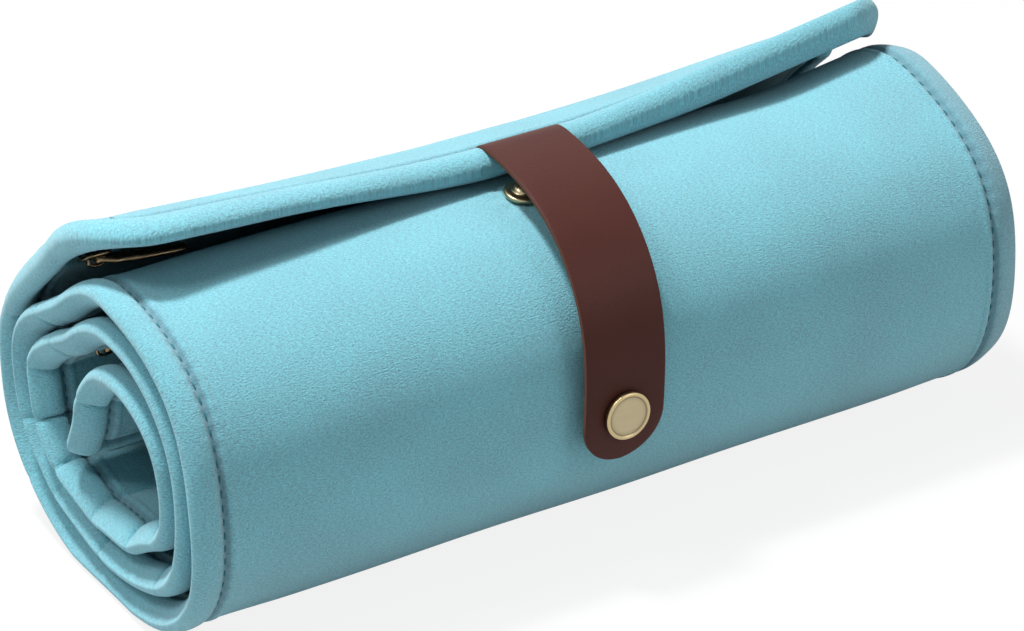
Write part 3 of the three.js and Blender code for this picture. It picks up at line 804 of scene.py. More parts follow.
@dataclass
class PaddedSheet:
    """The padded velvet sheet with its bound edges, in two closed pieces that meet under the foot.

    Creases are runs and depths, sags are runs, widths and depths, and the draw's waves are heights, lengths
    and phases.
    """

    winding: Winding
    velvet: bpy.types.Material
    studs: Sequence[tuple[float, float]]
    # Outline and thickness.
    flap_corner: float = 22.0
    right_corner: float = 9.5
    inner_corner: float = 5.0
    rim: float = 3.3
    body_half: float = 3.0
    tube_swell: float = 0.4
    tube_span: Span = (4.0, 2.6)
    # Plumper and thinner places of the flap's edge.
    flap_swell: float = 0.3
    right_swell: float = 1.0
    right_span: Span = (12.0, 50.0)
    right_run: Span = (14.0, 12.0)
    flap_thin: float = 0.4
    thin_run: float = 12.0
    thin_over: float = 60.0
    # Stitch line, binding and open field.
    stitch_in: float = STITCH_IN
    groove: float = 1.35
    groove_half: float = 0.9
    groove_ease: float = 4.0
    binding_rise: float = 0.28
    fold_span: Span = (10.3, 1.0)
    field_swell: float = 0.35
    field_span: Span = (12.0, 20.0)
    # Cut under the foot, and the zips' recesses.
    foot_angle: float = 180.0
    foot_gap: float = 0.02
    inner_zip_angle: float = 778.0
    recess_wall: Span = (3.4, 1.5)
    recess_span: Span = (8.2, 1.6)
    recess_floor: float = 0.7
    pull_rest: float = 0.4
    pull_span: Span = (96.0, 8.0)
    # Press of the winding on the rims: bevels, and the right end's sloping band.
    wound_span: Span = (50.0, 45.0)
    bevel_wide: float = 7.5
    bevel_power: float = 2.2
    bevel_top: float = 0.9
    bevel_rim: float = 2.6
    band_slope: float = 7.6
    band_power: float = 0.75
    band_rim: float = 0.95
    # Uneven stuffing, creases and sags.
    cover_waves: float = 0.28
    cover_span: Span = (1.0, 6.0)
    lining_waves: float = 0.2
    lining_shift: float = 50.0
    lining_span: Span = (0.2, 3.0)
    crease_wide: float = 0.9
    crease_draw: float = 0.4
    crease_inside: float = 0.2
    crease_span: Span = (62.0, 42.0)
    crease_wander: float = 0.06
    wander_run: float = 9.0
    creases: Pairs = (
        (66.0, 0.9), (112.0, 0.5), (331.0, 1.1), (371.0, 1.0), (391.0, 0.7), (415.0, 1.2), (446.0, 0.9),
        (562.0, 0.9), (581.0, 0.8), (594.5, 2.1), (607.0, 1.8), (626.0, 0.7), (644.5, 1.3), (661.0, 0.6),
        (734.0, 1.0),
    )
    chord_round: float = 32.0
    chord_most: float = 1.0
    chord_longest: float = 26.0
    sags: tuple[Triple, ...] = ((535.0, 14.0, 1.6), (657.0, 12.0, 2.2), (440.0, 12.0, 0.6))
    sag_span: Span = (62.0, 50.0)
    right_sag: float = 0.6
    flare: float = 4.6
    flare_run: Span = (301.0, 24.0)
    flare_span: Span = (70.0, 49.0)
    # Dimples at the studs, drawn-in rims, and the mark of painted shade on the band along the right rims.
    dimple: float = 0.75
    dimple_wide: float = 7.0
    gather: float = 0.16
    gather_count: float = 9.0
    gather_span: Span = (7.5, 2.8)
    draw: float = 0.1
    draw_waves: tuple[Triple, ...] = ((0.25, 19.0, 1.0), (0.15, 7.3, 2.0))
    draw_power: float = 8.0
    right_band_shade_edge: Span = (7.0, 1.0)
    right_band_shade_span: Span = (60.0, 20.0)
    sharp_angle: float = 76.0

    @property
    def zip_runs(self) -> tuple[float, float]:
        """Runs of the two zips."""
        return self.winding.zip_run, self.winding.run_at(self.inner_zip_angle)

    def edge_distance(self, run: Array, x: Array) -> Array:
        """Distance in from the sheet's outline, a rectangle with round corners.

        Args:
            run: distance from the flap edge.
            x: place along the roll.

        Returns:
            The distance to the nearest edge, or to the corner's arc inside a corner's square.
        """

        def from_end(rest: Array, radius: Array) -> Array:
            """Distance in from the sides and one end.

            Args:
                rest: distance from that end.
                radius: the corner's radius.

            Returns:
                The distances.
            """
            across = np.abs(x) - (self.winding.length / 2 - radius)
            along = radius - rest
            outside = np.hypot(np.maximum(across, 0.0), np.maximum(along, 0.0))
            return radius - outside - np.minimum(np.maximum(across, along), 0.0)

        flap = from_end(run, self.corner(x))
        inner = from_end(self.winding.run_end - run, np.asarray(self.inner_corner))
        return np.minimum(flap, inner)

    def corner(self, x: Array) -> Array:
        """Radius of the flap's corner on the side that a place lies on: the left one is rounder."""
        return np.where(x < 0.0, self.flap_corner, self.right_corner)

    def half_width(self, run: Array, side: Array) -> Array:
        """Half the sheet's width, less the corner arcs.

        Args:
            run: distance from the flap edge.
            side: negative for the left half and positive for the right one.

        Returns:
            The half widths.
        """

        def arc(rest: Array, radius: Array) -> Array:
            """Width that a corner takes away at a distance from its end."""
            inside = np.clip(radius - rest, 0.0, radius)
            return radius - np.sqrt(radius**2 - inside**2)

        flap = arc(run, self.corner(side))
        inner = arc(self.winding.run_end - run, np.asarray(self.inner_corner))
        return self.winding.length / 2 - flap - inner

    def round_rim(self, edge: Array, radius: float) -> Array:
        """Quarter of a circle from 0 at the edge to 1 at the radius."""
        return np.sqrt(1.0 - np.square(1.0 - np.clip(edge / radius, 0.0, 1.0)))

    def half_thickness(self, edge: Array) -> Array:
        """Half thickness by the distance from the edge.

        A round rim, a full tube up to the stitch line, a groove there, the step of the binding's fold, and
        then the open field that swells slowly.

        Args:
            edge: distance in from the outline.

        Returns:
            The half thickness.
        """
        tube = self.tube_swell * hump(edge, self.tube_span)
        groove = self.groove * hump(edge, (self.stitch_in, self.groove_half))
        fold = self.binding_rise * (1.0 - rise(edge, self.fold_span))
        field = self.field_swell * rise(edge, self.field_span)
        solid = self.round_rim(edge, self.rim) * (self.body_half + tube + fold + field)
        return solid - groove * smooth(edge / self.groove_ease)

    def waves(self, run: Array, x: Array) -> Array:
        """Slow unevenness of the stuffing: a few sines of different lengths.

        Args:
            run: distance from the flap edge.
            x: place along the roll.

        Returns:
            Heights between about -1 and 1.
        """
        first = np.sin(run / 17.0 + x / 31.0 + 0.6) * np.sin(x / 23.0 - run / 41.0 + 2.0)
        second = np.sin(run / 9.5 - x / 44.0) * np.sin(x / 13.0 + 1.0)
        return 0.65 * first + 0.35 * second

    def crease(self, run: Array) -> Array:
        """Depth of the creases across the inner side.

        Each crease is its own depth times a peak that falls off by e with each width, and the deepest counts.

        Args:
            run: distance from the flap edge.

        Returns:
            The depths.
        """
        spots = np.array(self.creases)
        away = np.abs(np.asarray(run)[..., None] - spots[:, 0]) / self.crease_wide
        return np.max(spots[:, 1] * np.exp(-away), -1)

    def chord(self, run: Array) -> Array:
        """Inward offset that straightens the wall between neighbouring creases.

        A parabola over each span, as high as the arc over its chord, and nothing over the longest spans.

        Args:
            run: distance from the flap edge.

        Returns:
            The offsets.
        """
        spots = np.array(self.creases)[:, 0]
        after = np.clip(np.searchsorted(spots, run), 1, len(spots) - 1)
        low, high = spots[after - 1], spots[after]
        span = high - low
        share = np.clip((run - low) / span, 0.0, 1.0)
        arc = np.minimum(np.square(span) / (8.0 * self.chord_round), self.chord_most)
        return np.where(span < self.chord_longest, arc, 0.0) * 4.0 * share * (1.0 - share)

    def sag(self, run: Array, x: Array) -> Array:
        """Inward offset of the whole sheet near its ends: chords between creases, and hollows, less a flare.

        Args:
            run: distance from the flap edge.
            x: place along the roll.

        Returns:
            The offsets, less at the right end, where one stretch flares out.
        """
        near = rise(np.abs(x), self.sag_span) * np.where(x < 0.0, 1.0, self.right_sag)
        drop = self.chord(run)
        for middle, wide, deep in self.sags:
            drop = drop + deep * hump(run, (middle, wide))
        return drop * near - self.flare * hump(run, self.flare_run) * rise(x, self.flare_span)

    def recess(self, run: Array, middle: float) -> Array:
        """Share of a zip's recess: 1 between its two walls, falling softly to 0 across each wall."""
        return 1.0 - rise(np.abs(run - middle), self.recess_wall)

    def pucker(self, run: Array, x: Array) -> Array:
        """Dimple of the cover round each snap stud, with a few shallow gathers that run away from it.

        Args:
            run: distance from the flap edge.
            x: place along the roll.

        Returns:
            The depth of the dimples.
        """
        dip = np.zeros_like(run)
        for middle, beside in self.studs:
            away = np.hypot(run - middle, x - beside)
            spokes = np.sin(self.gather_count * np.arctan2(run - middle, x - beside))
            dip = dip + self.dimple * bell(away / self.dimple_wide)
            dip = dip + self.gather * spokes * hump(away, self.gather_span)
        return dip

    def thickness(self, run: Array, x: Array) -> tuple[Array, Array, Array, Array]:
        """Thickness before the winding presses the sheet. The flap's edge is plumper, most at the right.

        Args:
            run: distance from the flap edge.
            x: place along the roll.

        Returns:
            The distance from the edge, the half thickness, the same without the rim's rounding, and the share
            of the winding's press: 0 at the flap's edge and 1 on the wound part.
        """
        edge = self.edge_distance(run, x)
        rounded = self.round_rim(edge, self.rim)
        wound = rise(run, self.wound_span)
        right = self.right_swell * rise(x, self.right_span) * (1.0 - rise(run, self.right_run))
        plump = (self.flap_swell + right) * hump(edge, self.tube_span) * rounded
        half = self.half_thickness(edge) + plump * (1.0 - wound)
        return edge, half, half / np.maximum(rounded, 1e-3), wound

    def cover(self, run: Array, x: Array) -> Array:
        """Depth of the outer side: thickness, pressed to a slope at the wound rims, waves, sags and dimples.

        Args:
            run: distance from the flap edge.
            x: place along the roll.

        Returns:
            The depth outwards from the middle line.
        """
        edge, half, full, wound = self.thickness(run, x)
        sloped = np.clip(edge / self.band_slope, 0.0, 1.0) ** self.band_power
        rounded = np.where(x > 0.0, sloped, self.round_rim(edge, self.bevel_rim))
        low = np.where(x > 0.0, self.band_rim, self.bevel_top)
        tight = low + (full - low) * rounded
        shaped = half + (tight - half) * wound
        uneven = self.cover_waves * self.waves(run, x) * rise(edge, self.cover_span)
        return shaped + uneven - self.sag(run, x) - self.pucker(run, x)

    def lining(self, run: Array, x: Array) -> Array:
        """Depth of the inner side: thickness, bevelled at the wound rims, waves, creases, sags and recesses.

        The creases wander a little away from the ends. The right rim is thinner where a zip's pull comes to
        rest.

        Args:
            run: distance from the flap edge.
            x: place along the roll.

        Returns:
            The depth inwards from the middle line.
        """
        edge, half, full, wound = self.thickness(run, x)
        slant = 1.0 - (1.0 - np.clip(edge / self.bevel_wide, 0.0, 1.0)) ** self.bevel_power
        bevel = (full + self.bevel_top) * slant - self.bevel_top
        thin = self.flap_thin * bell(run / self.thin_run) * smooth(-x / self.thin_over)
        shaped = half * (1.0 - thin) + (bevel - half) * wound
        inside = self.winding.length / 2 - np.abs(x)
        wander = self.crease_wander * inside * np.sin(run / self.wander_run)
        ends = self.crease_inside + (1.0 - self.crease_inside) * rise(np.abs(x), self.crease_span)
        uneven = self.lining_waves * self.waves(run + self.lining_shift, x) - self.crease(run + wander) * ends
        deep = shaped + uneven * rise(edge, self.lining_span) + self.sag(run, x)
        zips = np.zeros_like(edge)
        for middle in self.zip_runs:
            recess = self.recess(run, middle)
            zips = zips + recess * rise(edge, self.recess_span)
            deep = deep * (1.0 - self.pull_rest * recess * rise(x, self.pull_span))
        return deep - zips * (deep + self.recess_floor)

    def relief(self, run: Array, x: Array, side: Side) -> Array:
        """Depth of one side of the sheet, outwards from the middle line."""
        return self.cover(run, x) if side is Side.OUTER else -self.lining(run, x)

    def place(self, run: Array, x: Array, depth: Array) -> Array:
        """Points of the sheet, with its two end rims drawn in a little by waves along the run and at creases.

        Args:
            run: distance from the flap edge.
            x: place along the roll.
            depth: depth from the middle line.

        Returns:
            Places in millimetres, none below the table.
        """
        side = np.sign(x)
        reach = np.abs(2.0 * x / self.winding.length) ** self.draw_power
        drawn = self.draw + self.crease_draw * self.crease(run)
        for high, long, phase in self.draw_waves:
            drawn = drawn + high * np.sin(run / long + phase * side)
        spots = self.winding.place(run, x - side * reach * drawn, depth)
        spots[..., 2] = np.maximum(spots[..., 2], 0.0)
        return spots

    def edge_marks(self) -> Array:
        """Distances from an edge at which points lie: close at the rim, the groove and the fold.

        Returns:
            Rising distances.
        """
        rim = self.rim * turned_steps(7)
        tube = [4.2, 5.0, 5.8, 6.6]
        return np.concatenate([rim, tube, np.arange(7.0, 9.3, 0.3), np.arange(9.6, 12.1, 0.4)])

    def stud_marks(self, middle: float) -> Array:
        """Close places round a stud's middle, for its dimple."""
        return np.arange(middle - 12.0, middle + 12.1, 0.8)

    def columns(self) -> Array:
        """Places across the sheet as shares of its half width, from -1 to 1, closer at the rims and studs.

        Returns:
            Sorted shares, with places that nearly coincide left out.
        """
        far = self.winding.length / 2
        field = [13.2, 15.0, 17.5, 20.5, 24.0]
        half = np.concatenate([self.edge_marks(), field, np.arange(28.0, far, 4.2)]) / far - 1.0
        fine = [self.stud_marks(beside) / far for _, beside in self.studs]
        places = np.unique(np.round(np.concatenate([half, [0.0], -half[::-1], *fine]), 6))
        return places[np.concatenate([[True], np.diff(places) > 0.0004])]

    def rows(self, low: float, high: float) -> Array:
        """Runs of the rows between two ends, closer at bound edges, zips, creases and studs.

        Args:
            low: first run.
            high: last run.

        Returns:
            Sorted runs, with those that nearly coincide left out.
        """
        end = self.winding.run_end
        marks = self.edge_marks()
        bend = np.array([-2.4, -1.6, -1.0, -0.5, 0.0, 0.5, 1.0, 1.6, 2.4])
        fine = [marks, end - marks, (np.array(self.creases)[:, :1] + bend).ravel()]
        fine.extend(np.arange(middle - 6.0, middle + 6.01, 0.4) for middle in self.zip_runs)
        fine.extend(self.stud_marks(middle) for middle, _ in self.studs)
        runs = np.concatenate([*fine, np.arange(marks[-1], end - marks[-1], 1.5), [low, high]])
        runs = np.unique(np.round(runs[(runs >= low) & (runs <= high)], 3))
        return runs[np.concatenate([[True], np.diff(runs) > 0.08])]

    def build_part(self, name: str, low: float, high: float) -> Piece:
        """Closed piece of the sheet between two runs.

        Each row is a ring: across the outer side, round the right rim, back across the inner side. At a bound
        end the row lies on the edge, so that its two sides meet, and at a cut end a strip closes it.

        Args:
            name: the piece's name.
            low: first run.
            high: last run.

        Returns:
            The new piece, with its cloth map and edge marks.
        """
        runs, share = self.rows(low, high), self.columns()
        run = runs[:, None]
        x = share[None, :] * self.half_width(run, share[None, :])
        outer = self.place(run, x, self.relief(run, x, Side.OUTER))
        inner = self.place(run, x, self.relief(run, x, Side.INNER))
        around = np.concatenate([outer, inner[:, -2:0:-1]], 1)
        cols = len(share)
        faces = [grid_faces(len(runs), around.shape[1], ring=True)]
        for row, bound in ((0, low <= 0.0), (len(runs) - 1, high >= self.winding.run_end)):
            if not bound:
                start = row * around.shape[1]
                top = np.arange(cols - 1)
                under = np.concatenate([[0], np.arange(around.shape[1] - 1, cols - 2, -1)])
                cap = np.stack([top, top + 1, under[1:], under[:-1]], -1) + start
                faces.append(cap if row else cap[:, ::-1])
        piece = make_piece(name, around.reshape(-1, 3), np.concatenate(faces), self.velvet)
        piece.data.set_sharp_from_angle(angle=math.radians(self.sharp_angle))
        self.mark(piece, around, np.broadcast_to(run, x.shape), x)
        return piece

    def mark(self, piece: Piece, around: Array, run: Array, x: Array) -> None:
        """Writes the cloth map and the marks that the velvet reads.

        The marks are the distance from the edge, the place along that edge, and painted shade on the band
        along the right rims.

        Args:
            piece: the finished piece.
            around: its points before doubles were merged, row by row.
            run: run of each point of a row's outer side.
            x: place along the roll of each of these.
        """
        _, first = np.unique(np.round(around.reshape(-1, 3), MERGE_DIGITS), axis=0, return_index=True)
        run_of, x_of = (np.concatenate([v, v[:, -2:0:-1]], 1).ravel()[first] for v in (run, x))
        edge = self.edge_distance(run_of, x_of)
        on_side = self.winding.length / 2 - np.abs(x_of) < np.minimum(run_of, self.winding.run_end - run_of)
        # Painted shade: the band along the right rims of the wound part, darker where it slopes away from the
        # light.
        nap = (1.0 - rise(edge, self.right_band_shade_edge)) * rise(x_of, self.right_band_shade_span) * (run_of > self.wound_span[0])
        write_marks(piece, edge=edge, along=np.where(on_side, run_of, x_of), nap=nap)
        corner = np.zeros(len(piece.data.loops), np.int32)
        piece.data.loops.foreach_get("vertex_index", corner)
        flat = np.stack([run_of[corner], x_of[corner]], -1)
        piece.data.uv_layers.new(name="cloth").data.foreach_set("uv", flat.astype(np.float32).ravel())

    def build(self) -> list[Piece]:
        """Makes the flap piece and the wound piece.

        Returns:
            The two pieces.
        """
        foot = self.winding.run_at(self.foot_angle)
        flap = self.build_part("flap_padded", 0.0, foot - self.foot_gap)
        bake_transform(flap)
        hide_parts("cover_flap", "padding_flap", "lining_flap_edge", "lining_flap_back")
        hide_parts("binding_left_flap", "binding_right_flap", "binding_flap_edge")
        wound = self.build_part("roll_padded", foot + self.foot_gap, self.winding.run_end)
        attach(wound, "roll")
        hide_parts("cover_wound", "padding_wound", "lining_middle", "lining_inner")
        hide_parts("binding_left_wound", "binding_right_wound", "binding_inner_end")
        return [flap, wound]


@dataclass
class Stitching:
    """Thread along the bindings: short stitches that dip into the cloth at both ends."""

    sheet: PaddedSheet
    thread: bpy.types.Material
    pitch: float = STITCH_PITCH
    long: float = 2.5
    radius: float = 0.24
    stations: int = 6
    around: int = 6
    proud: float = 0.16
    sink: float = 0.5
    blunt: float = 1.02

    def lines(self) -> tuple[Array, Array]:
        """Stitches along the sheet's outline, drawn in by the binding's seam.

        Straight lines down both ends, across the flap edge and across the inner end, and an arc round each
        flap corner.

        Returns:
            The run and x of each stitch's middle, and the run and x of its direction.
        """
        inset = self.sheet.stitch_in
        end = self.sheet.winding.run_end
        far = self.sheet.winding.length / 2 - inset
        left, right = self.sheet.flap_corner, self.sheet.right_corner
        across = np.arange(-far + left - inset + self.pitch / 2, far - right + inset, self.pitch)
        tail = np.arange(-far + 1.0, far, self.pitch)
        spots, ways = [], []
        for sign, corner in ((-1.0, left), (1.0, right)):
            bend = corner - inset
            down = np.arange(corner + self.pitch / 2, end - inset - 1.0, self.pitch)
            turn = np.arange(self.pitch / 2, bend * math.pi / 2, self.pitch) / bend
            spots.append(np.stack([down, np.full_like(down, sign * far)], -1))
            ways.append(np.tile([1.0, 0.0], (len(down), 1)))
            aside = sign * (far - bend + bend * np.sin(turn))
            spots.append(np.stack([corner - bend * np.cos(turn), aside], -1))
            ways.append(np.stack([np.sin(turn), sign * np.cos(turn)], -1))
        for row, run in ((across, inset), (tail, end - inset)):
            spots.append(np.stack([np.full_like(row, run), row], -1))
            ways.append(np.tile([0.0, 1.0], (len(row), 1)))
        return np.concatenate(spots), np.concatenate(ways)

    def bodies(self, low: float, high: float) -> Array:
        """Rings of all stitches whose middle lies between two runs, on both sides of the sheet.

        Each stitch is a round thread that stands proud of the cloth and sinks by the fourth power of the
        distance from its middle.

        Args:
            low: first run.
            high: last run.

        Returns:
            Places as stitch, station, point, xyz.
        """
        t = np.linspace(-1.0, 1.0, self.stations)
        turn = full_turn(self.around)
        spots, ways = self.lines()
        keep = (spots[:, 0] > low) & (spots[:, 0] <= high)
        steps = t[None, :, None] * ways[keep][:, None] * self.long / 2
        run, x = np.moveaxis(spots[keep][:, None] + steps, -1, 0)
        thin = self.radius * np.sqrt(self.blunt - t**2)[None, :, None, None]
        found = []
        for side in Side:
            depth = self.sheet.relief(run, x, side) + side.value * (self.proud - self.sink * t[None, :] ** 4)
            line = self.sheet.place(run, x, depth)
            up = self.sheet.place(run, x, depth + side.value) - line
            beside = np.cross(np.gradient(line, axis=1), up)
            beside /= np.maximum(np.linalg.norm(beside, axis=-1, keepdims=True), 1e-9)
            ring = np.cos(turn)[:, None] * beside[..., None, :] + np.sin(turn)[:, None] * up[..., None, :]
            found.append(line[..., None, :] + thin * ring)
        return np.concatenate(found)

    def build(self) -> list[Piece]:
        """Makes one mesh of thread for the flap and one for the wound part.

        Returns:
            The two pieces.
        """
        foot, end = self.sheet.winding.run_at(self.sheet.foot_angle), self.sheet.winding.run_end
        flap = make_piece("flap_stitches", *capped_tubes(self.bodies(0.0, foot)), self.thread)
        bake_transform(flap)
        wound = make_piece("roll_stitches", *capped_tubes(self.bodies(foot, end)), self.thread)
        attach(wound, "roll")
        return [flap, wound]


@dataclass
class Strap:
    """Leather strap sewn to the flap's edge, round at its tip, with the snap through it.

    Profiles are radii and heights: the cap's foot over the strap's face, its dish over the cap's top, the
    socket over its own underside and the stud over its foot.
    """

    winding: Winding
    leather: bpy.types.Material
    brass: bpy.types.Material
    x: float = -1.7
    skew: float = -4.9
    spare_aside: float = 5.5
    wide: float = 22.5
    thick: float = 1.35
    edge_round: float = 0.3
    root_run: float = 6.3
    tip_angle: float = 253.2
    hinge_angle: float = 302.0
    gap: float = 0.3
    snap_angle: float = 268.7
    spare_angle: float = 344.0
    ease_angle: float = 335.0
    ease_span: float = 63.0
    low: float = 4.4
    root_dip: float = 2.3
    root_ease: float = 2.6
    root_end: float = 1.0
    root_round: float = 0.5
    tip_blunt: float = 0.05
    # Reach of a direction at the strap's hinge, and the cut edges.
    hinge_reach: float = 9.0
    middle_z: float = 43.5
    cut_from: float = 0.62
    cut_over: float = 0.3
    # Snap.
    cap_radius: float = 6.2
    cap_high: float = 1.8
    cap_round: float = 0.5
    cap_foot: Pairs = ((0.0, -1.0), (1.5, -1.0), (1.5, -0.02), (5.9, -0.02), (6.12, 0.25))
    cap_dish: Pairs = (
        (5.5, -0.02), (5.35, -0.08), (5.2, -0.22), (5.05, -0.32), (4.8, -0.35), (4.0, -0.33), (2.5, -0.3),
        (1.0, -0.28), (0.0, -0.28),
    )
    # Painted shade at the foot of the cap's rim and at its foot on the strap, and the radius from which the
    # rim carries a painted highlight.
    grime: float = 0.75
    grime_span: Span = (5.05, 0.22)
    grime_foot: float = 0.3
    highlight_from: float = 5.3
    socket_up: float = 1.2
    socket_ring: Pairs = (
        (3.5, 0.0), (4.6, 0.0), (5.0, 0.1), (5.3, 0.35), (5.4, 0.7), (5.4, 2.1), (3.6, 2.1), (3.4, 1.6),
        (3.4, 0.3), (3.5, 0.0),
    )
    stud_up: float = 0.3
    stud_foot: Pairs = (
        (0.0, -1.9), (1.5, -1.9), (1.5, -0.5), (4.5, -0.5), (4.75, 0.0), (4.8, 0.45), (4.65, 0.78),
        (4.3, 0.9), (3.3, 0.92), (3.0, 1.0),
    )
    dome_radius: float = 2.75
    dome_base: float = 1.0
    dome_high: float = 1.6

    @property
    def high(self) -> float:
        """Stand-off of the strap's middle over the roll where it lies on the flap."""
        return self.winding.pitch + self.gap + self.thick / 2

    @property
    def root_angle(self) -> float:
        """Winding angle of the sewn end, one turn on from the flap's own."""
        return 360.0 + float(self.winding.angle_at(np.array(self.root_run)))

    def middle_x(self, angle: Array) -> Array:
        """Place along the roll of the strap's middle, which lies a little askew."""
        return self.x + self.skew * (self.root_angle - angle) / (self.root_angle - self.tip_angle)

    def stud_seats(self) -> list[tuple[str, float, float]]:
        """Names, winding angles and places along the roll of the stud in use and the spare one."""
        used, spare = float(self.middle_x(self.snap_angle)), float(self.middle_x(self.spare_angle))
        return [("lower", self.snap_angle, used), ("upper", self.spare_angle, spare - self.spare_aside)]

    def line(self, angle: Array) -> tuple[Array, Array, Array, Array]:
        """Middle line of the strap and its normal: the roll's outer line pushed out, by an eased stand-off.

        Args:
            angle: winding angles, falling from the root to the tip.

        Returns:
            The y and z of the line, and the y and z of the outward normal.
        """
        y, z, ny, nz = self.winding.frame(angle)
        ease = smooth((self.ease_angle - angle) / self.ease_span)
        dip = self.root_dip * bell((self.root_angle - angle) / self.root_ease)
        out = self.winding.half + self.high + (self.low - self.high) * ease - dip
        return y + ny * out, z + nz * out, ny, nz

    def section(self, half: Array) -> tuple[Array, Array]:
        """Outline of the strap's section: a rectangle with round corners.

        Args:
            half: half widths.

        Returns:
            The places across for each half width, and the heights.
        """
        turn = np.linspace(0.0, math.pi / 2, 5)
        tight = self.edge_round
        right_top = (half[:, None] - tight) + tight * np.cos(turn)[None, :]
        height_top = (self.thick / 2 - tight) + tight * np.sin(turn)
        span = np.linspace(1.0, -1.0, 12)[1:-1]
        top = span[None, :] * (half[:, None] - tight)
        left_top = -right_top[:, ::-1]
        upper = np.concatenate([right_top, top, left_top], 1)
        level = np.concatenate([height_top, np.full(len(span), self.thick / 2), height_top[::-1]])
        return np.concatenate([upper, upper[:, ::-1]], 1), np.concatenate([level, -level[::-1]])

    def build_band(self) -> Piece:
        """Makes the leather band with its straight root and round tip.

        Returns:
            The new piece, with a mark of 1 on its cut edges.
        """
        angle = np.linspace(self.tip_angle, self.root_angle, 1600)
        y, z, _, _ = self.line(angle)
        run = np.concatenate([[0.0], np.cumsum(np.hypot(np.diff(y), np.diff(z)))])
        radius = self.wide / 2
        body = np.linspace(radius, run[-1] - self.root_end, 70)[1:]
        root = run[-1] - turned_steps(5)[::-1] * self.root_round
        rest = np.unique(np.round(np.concatenate([radius * turned_steps(24), body, root]), 4))
        arc = np.sqrt(np.maximum(radius**2 - (radius - rest) ** 2, 0.0))
        half = np.maximum(np.where(rest < radius, arc, radius), self.edge_round + self.tip_blunt)
        at = np.interp(rest, run, angle)
        y, z, ny, nz = (v[:, None] for v in self.line(at))
        across, height = self.section(half)
        points = np.stack([self.middle_x(at)[:, None] + across, y + ny * height, z + nz * height], -1)
        piece = make_piece("strap_band", *capped_tubes(points[None]), self.leather)
        self.mark_cut(piece)
        hinge = self.line(np.array([self.hinge_angle]))
        way = np.array([0.0, -hinge[3][0], hinge[2][0]]) * self.hinge_reach
        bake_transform(piece)
        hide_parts("strap_root", "strap_tongue")
        return piece

    def mark_cut(self, piece: Piece) -> None:
        """Marks the cut edges: 1 where the surface faces along the roll or the strap and not out of the roll.

        Args:
            piece: the band.
        """
        centre = np.array([-self.winding.pitch / 4, self.middle_z]) * MM
        radial = vertex_rows(piece, "co")[:, 1:] - centre
        radial /= np.linalg.norm(radial, axis=1, keepdims=True)
        face = np.abs((vertex_rows(piece, "normal")[:, 1:] * radial).sum(1))
        write_marks(piece, cut=np.clip((self.cut_from - face) / self.cut_over, 0.0, 1.0))

    def seat(self, angle: float, x: float) -> tuple[Array, Array, Array]:
        """Origin on the sheet's middle line and two directions for a turned piece: up, and along the run."""
        y, z, ny, nz = (float(v[0]) for v in self.winding.frame(np.array([angle])))
        return np.array([x, y, z]), np.array([0.0, ny, nz]), np.array([0.0, nz, -ny])

    def turned(self, name: str, profile: Pairs, angle: float, x: float, count: int = 72) -> Piece:
        """Piece turned round the normal of the roll at a winding angle.

        Args:
            name: the piece's name.
            profile: radii and heights from one end on the axis to the other, or round a closed ring.
            angle: the seat's winding angle.
            x: the seat's place along the roll.
            count: steps round the axis.

        Returns:
            The new piece.
        """
        origin, up, ahead = self.seat(angle, x)
        radius, height = np.array(profile).T
        turn = full_turn(count)
        flat = np.cos(turn)[:, None] * np.array([1.0, 0.0, 0.0]) + np.sin(turn)[:, None] * ahead
        points = origin + radius[:, None, None] * flat[None] + (height[:, None] * up)[:, None, :]
        faces = grid_faces(len(radius), count, ring=True)
        return make_piece(name, points.reshape(-1, 3), faces, self.brass)

    def mark_cap(self, piece: Piece, x: float, face: float) -> None:
        """Marks the cap by the distance from its axis: painted shade at the rim's foot and the cap's foot, a
        painted highlight on the rim.

        Args:
            piece: the cap.
            x: its place along the roll.
            face: height of the strap's face under it.
        """
        origin, up, _ = self.seat(self.snap_angle, x)
        away = vertex_rows(piece, "co") / MM - origin
        height = away @ up
        radius = np.linalg.norm(away - height[:, None] * up, axis=1)
        # Painted shade in the groove and round the cap's foot, and a painted highlight on the rim.
        grime = hump(radius, self.grime_span) * (height > face) + (height < face + self.grime_foot)
        write_marks(piece, grime=self.grime * grime, bright=1.0 * (radius > self.highlight_from))

    def build_snap(self) -> list[Piece]:
        """Makes the cap, the socket under the strap and the two studs on the roll.

        Returns:
            The four pieces.
        """

        def over(level: float, profile: Pairs) -> Pairs:
            """Profile with its heights measured from a level."""
            return tuple((radius, level + height) for radius, height in profile)

        half = self.winding.half
        snap_x = float(self.middle_x(self.snap_angle))
        face = half + self.low + self.thick / 2
        top = face + self.cap_high
        tight = self.cap_round
        bends = np.linspace(1.57, 0.0, 7)
        rim = tuple((self.cap_radius + tight * (math.sin(t) - 1), tight * (math.cos(t) - 1)) for t in bends)
        cap = over(face, self.cap_foot) + over(top, rim + self.cap_dish)
        cap_piece = self.turned("snap_cap_turned", cap, self.snap_angle, snap_x, 96)
        self.mark_cap(cap_piece, snap_x, face)
        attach(cap_piece, "strap")
        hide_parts("snap_cap")
        foot = half + self.stud_up
        ring = over(foot + self.socket_up, self.socket_ring)
        socket = self.turned("snap_socket_turned", ring, self.snap_angle, snap_x, 64)
        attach(socket, "strap")
        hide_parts("snap_socket")
        made = [cap_piece, socket]
        bends = np.linspace(0.1, 1.45, 9)
        dome = tuple((self.dome_radius * math.cos(t), self.dome_high * math.sin(t)) for t in bends)
        dome = over(self.dome_base, dome + ((0.0, self.dome_high),))
        for name, angle, x in self.stud_seats():
            piece = self.turned(f"snap_stud_{name}_turned", over(foot, self.stud_foot + dome), angle, x)
            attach(piece, "roll")
            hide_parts(f"snap_stud_{name}")
            made.append(piece)
        return made

    def build(self) -> list[Piece]:
        """Makes the band and the snap."""
        return [self.build_band(), *self.build_snap()]


